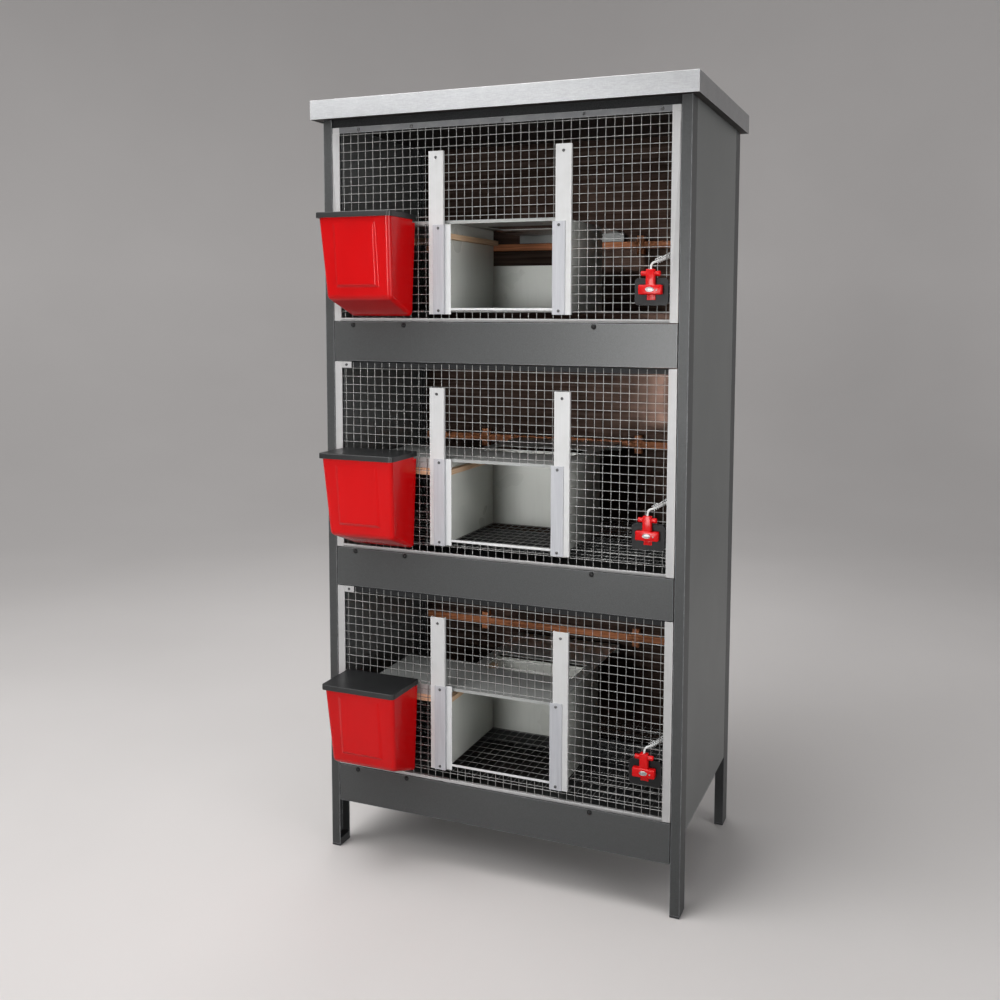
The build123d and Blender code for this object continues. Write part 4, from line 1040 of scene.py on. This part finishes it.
def studio():
    """A round floor that curves up into a wall on all sides.

    It is pale where it is seen, straight or in a reflection, and throws back less light than that.
    """
    s = Surface("studio_floor", 0.75)
    cloud = s.spread(s.noise(0.8, 3), 0.0, 1.0)
    floor = s.blend(cloud, srgb(219, 215, 213), srgb(223, 219, 217))
    wall = s.blend(cloud, srgb(226, 222, 220), srgb(230, 226, 224))
    wall = s.blend(s.spread(s.axis("Y"), 1.0, 0.0, *FRONT_WALL), wall, srgb(182, 178, 176))
    tone = s.blend(s.spread(s.axis("Z"), 0.0, 1.0, 0.0, STUDIO_CURVE), floor, wall)
    ray = s.nodes.new("ShaderNodeLightPath").outputs
    seen = s.combine("MAXIMUM", ray["Is Camera Ray"], ray["Is Glossy Ray"])
    seen = s.combine("MAXIMUM", seen, ray["Is Transmission Ray"])
    s.colour(s.blend(seen, srgb(*STUDIO_BOUNCE), tone))
    s.shader.inputs["Emission Color"].default_value = GLOW_TINT
    glow = s.combine("MULTIPLY", seen, s.spread(s.axis("Z"), 0.0, STUDIO_GLOW, 0.0, GLOW_HEIGHT))
    s.feed(s.shader.inputs["Emission Strength"], glow)
    s.sheen(s.spread(s.noise(0.1, 3), 0.7, 0.82))
    s.bump(s.noise(0.02, 3), 0.0001)
    profile = [(STUDIO_RADIUS * share, 0.0) for share in STUDIO_RINGS]
    for i in range(1, STUDIO_STEPS + 1):
        angle = math.pi / 2 * i / STUDIO_STEPS
        profile.append((STUDIO_RADIUS + STUDIO_CURVE * math.sin(angle),
                        STUDIO_CURVE * (1 - math.cos(angle))))
    profile.append((STUDIO_RADIUS + STUDIO_CURVE, STUDIO_HEIGHT))
    bm = bmesh.new()
    turns = [2 * math.pi * k / STUDIO_SIDES for k in range(STUDIO_SIDES)]
    rings = []
    for radius, height in profile:
        rings.append([bm.verts.new((radius * math.cos(t), radius * math.sin(t), height)) for t in turns])
    bm.faces.new(rings[0])
    for first, second in zip(rings, rings[1:]):
        for k in range(STUDIO_SIDES):
            n = (k + 1) % STUDIO_SIDES
            bm.faces.new((first[k], second[k], second[n], first[n]))
    mesh = bpy.data.meshes.new("studio")
    bm.to_mesh(mesh)
    bm.free()
    mesh.materials.append(s.material)
    mesh.shade_smooth()
    stage = bpy.data.objects.new("studio", mesh)
    bpy.context.scene.collection.objects.link(stage)


def softbox(name, place, aim, width, height, power, spread=180):
    """A soft lamp; a spread under 180 degrees is a grid that keeps its light off the floor."""
    light = bpy.data.lights.new(name, "AREA")
    light.spread = math.radians(spread)
    light.shape = "RECTANGLE"
    light.size = width
    light.size_y = height
    light.energy = power
    lamp = bpy.data.objects.new(name, light)
    lamp.location = place
    lamp.rotation_euler = (Vector(aim) - Vector(place)).to_track_quat("-Z", "Y").to_euler()
    lamp.visible_camera = False
    bpy.context.scene.collection.objects.link(lamp)


def camera():
    """The photo's own view, fitted to the cabinet's edges."""
    view = bpy.data.cameras.new("camera")
    view.lens = CAMERA_LENS
    view.shift_x, view.shift_y = CAMERA_SHIFT
    eye = bpy.data.objects.new("camera", view)
    turn = Matrix.Rotation(math.radians(CAMERA_TURN), 4, "Z")
    pitch = Matrix.Rotation(math.radians(90 - CAMERA_DROP), 4, "X")
    roll = Matrix.Rotation(math.radians(CAMERA_ROLL), 4, "Z")
    eye.matrix_world = Matrix.Translation(CAMERA_PLACE) @ turn @ pitch @ roll
    bpy.context.scene.collection.objects.link(eye)
    bpy.context.scene.camera = eye


def world():
    """Even light from above the studio wall."""
    sky = bpy.data.worlds.new("studio")
    sky.use_nodes = True
    background = sky.node_tree.nodes["Background"]
    background.inputs["Color"].default_value = SKY
    background.inputs["Strength"].default_value = SKY_STRENGTH
    bpy.context.scene.world = sky


studio()
softbox("key", (-2.4, -3.2, 3.4), MIDDLE, width=3.4, height=2.4, power=74)
softbox("front", (-0.4, -4.2, 1.0), (0.1, 0.0, 1.0), width=1.1, height=1.3, power=5.8, spread=47)
softbox("right", (4.4, -1.7, 1.45), (0.2, 0.0, 1.25), width=4.4, height=2.2, power=20, spread=54)
softbox("top", (-0.7, -0.9, 4.4), MIDDLE, width=2.6, height=2.6, power=110)
softbox("rear", (-1.0, 2.6, 4.2), MIDDLE, width=2.0, height=2.0, power=24)
world()
camera()
bpy.context.scene.view_settings.view_transform = "Standard"
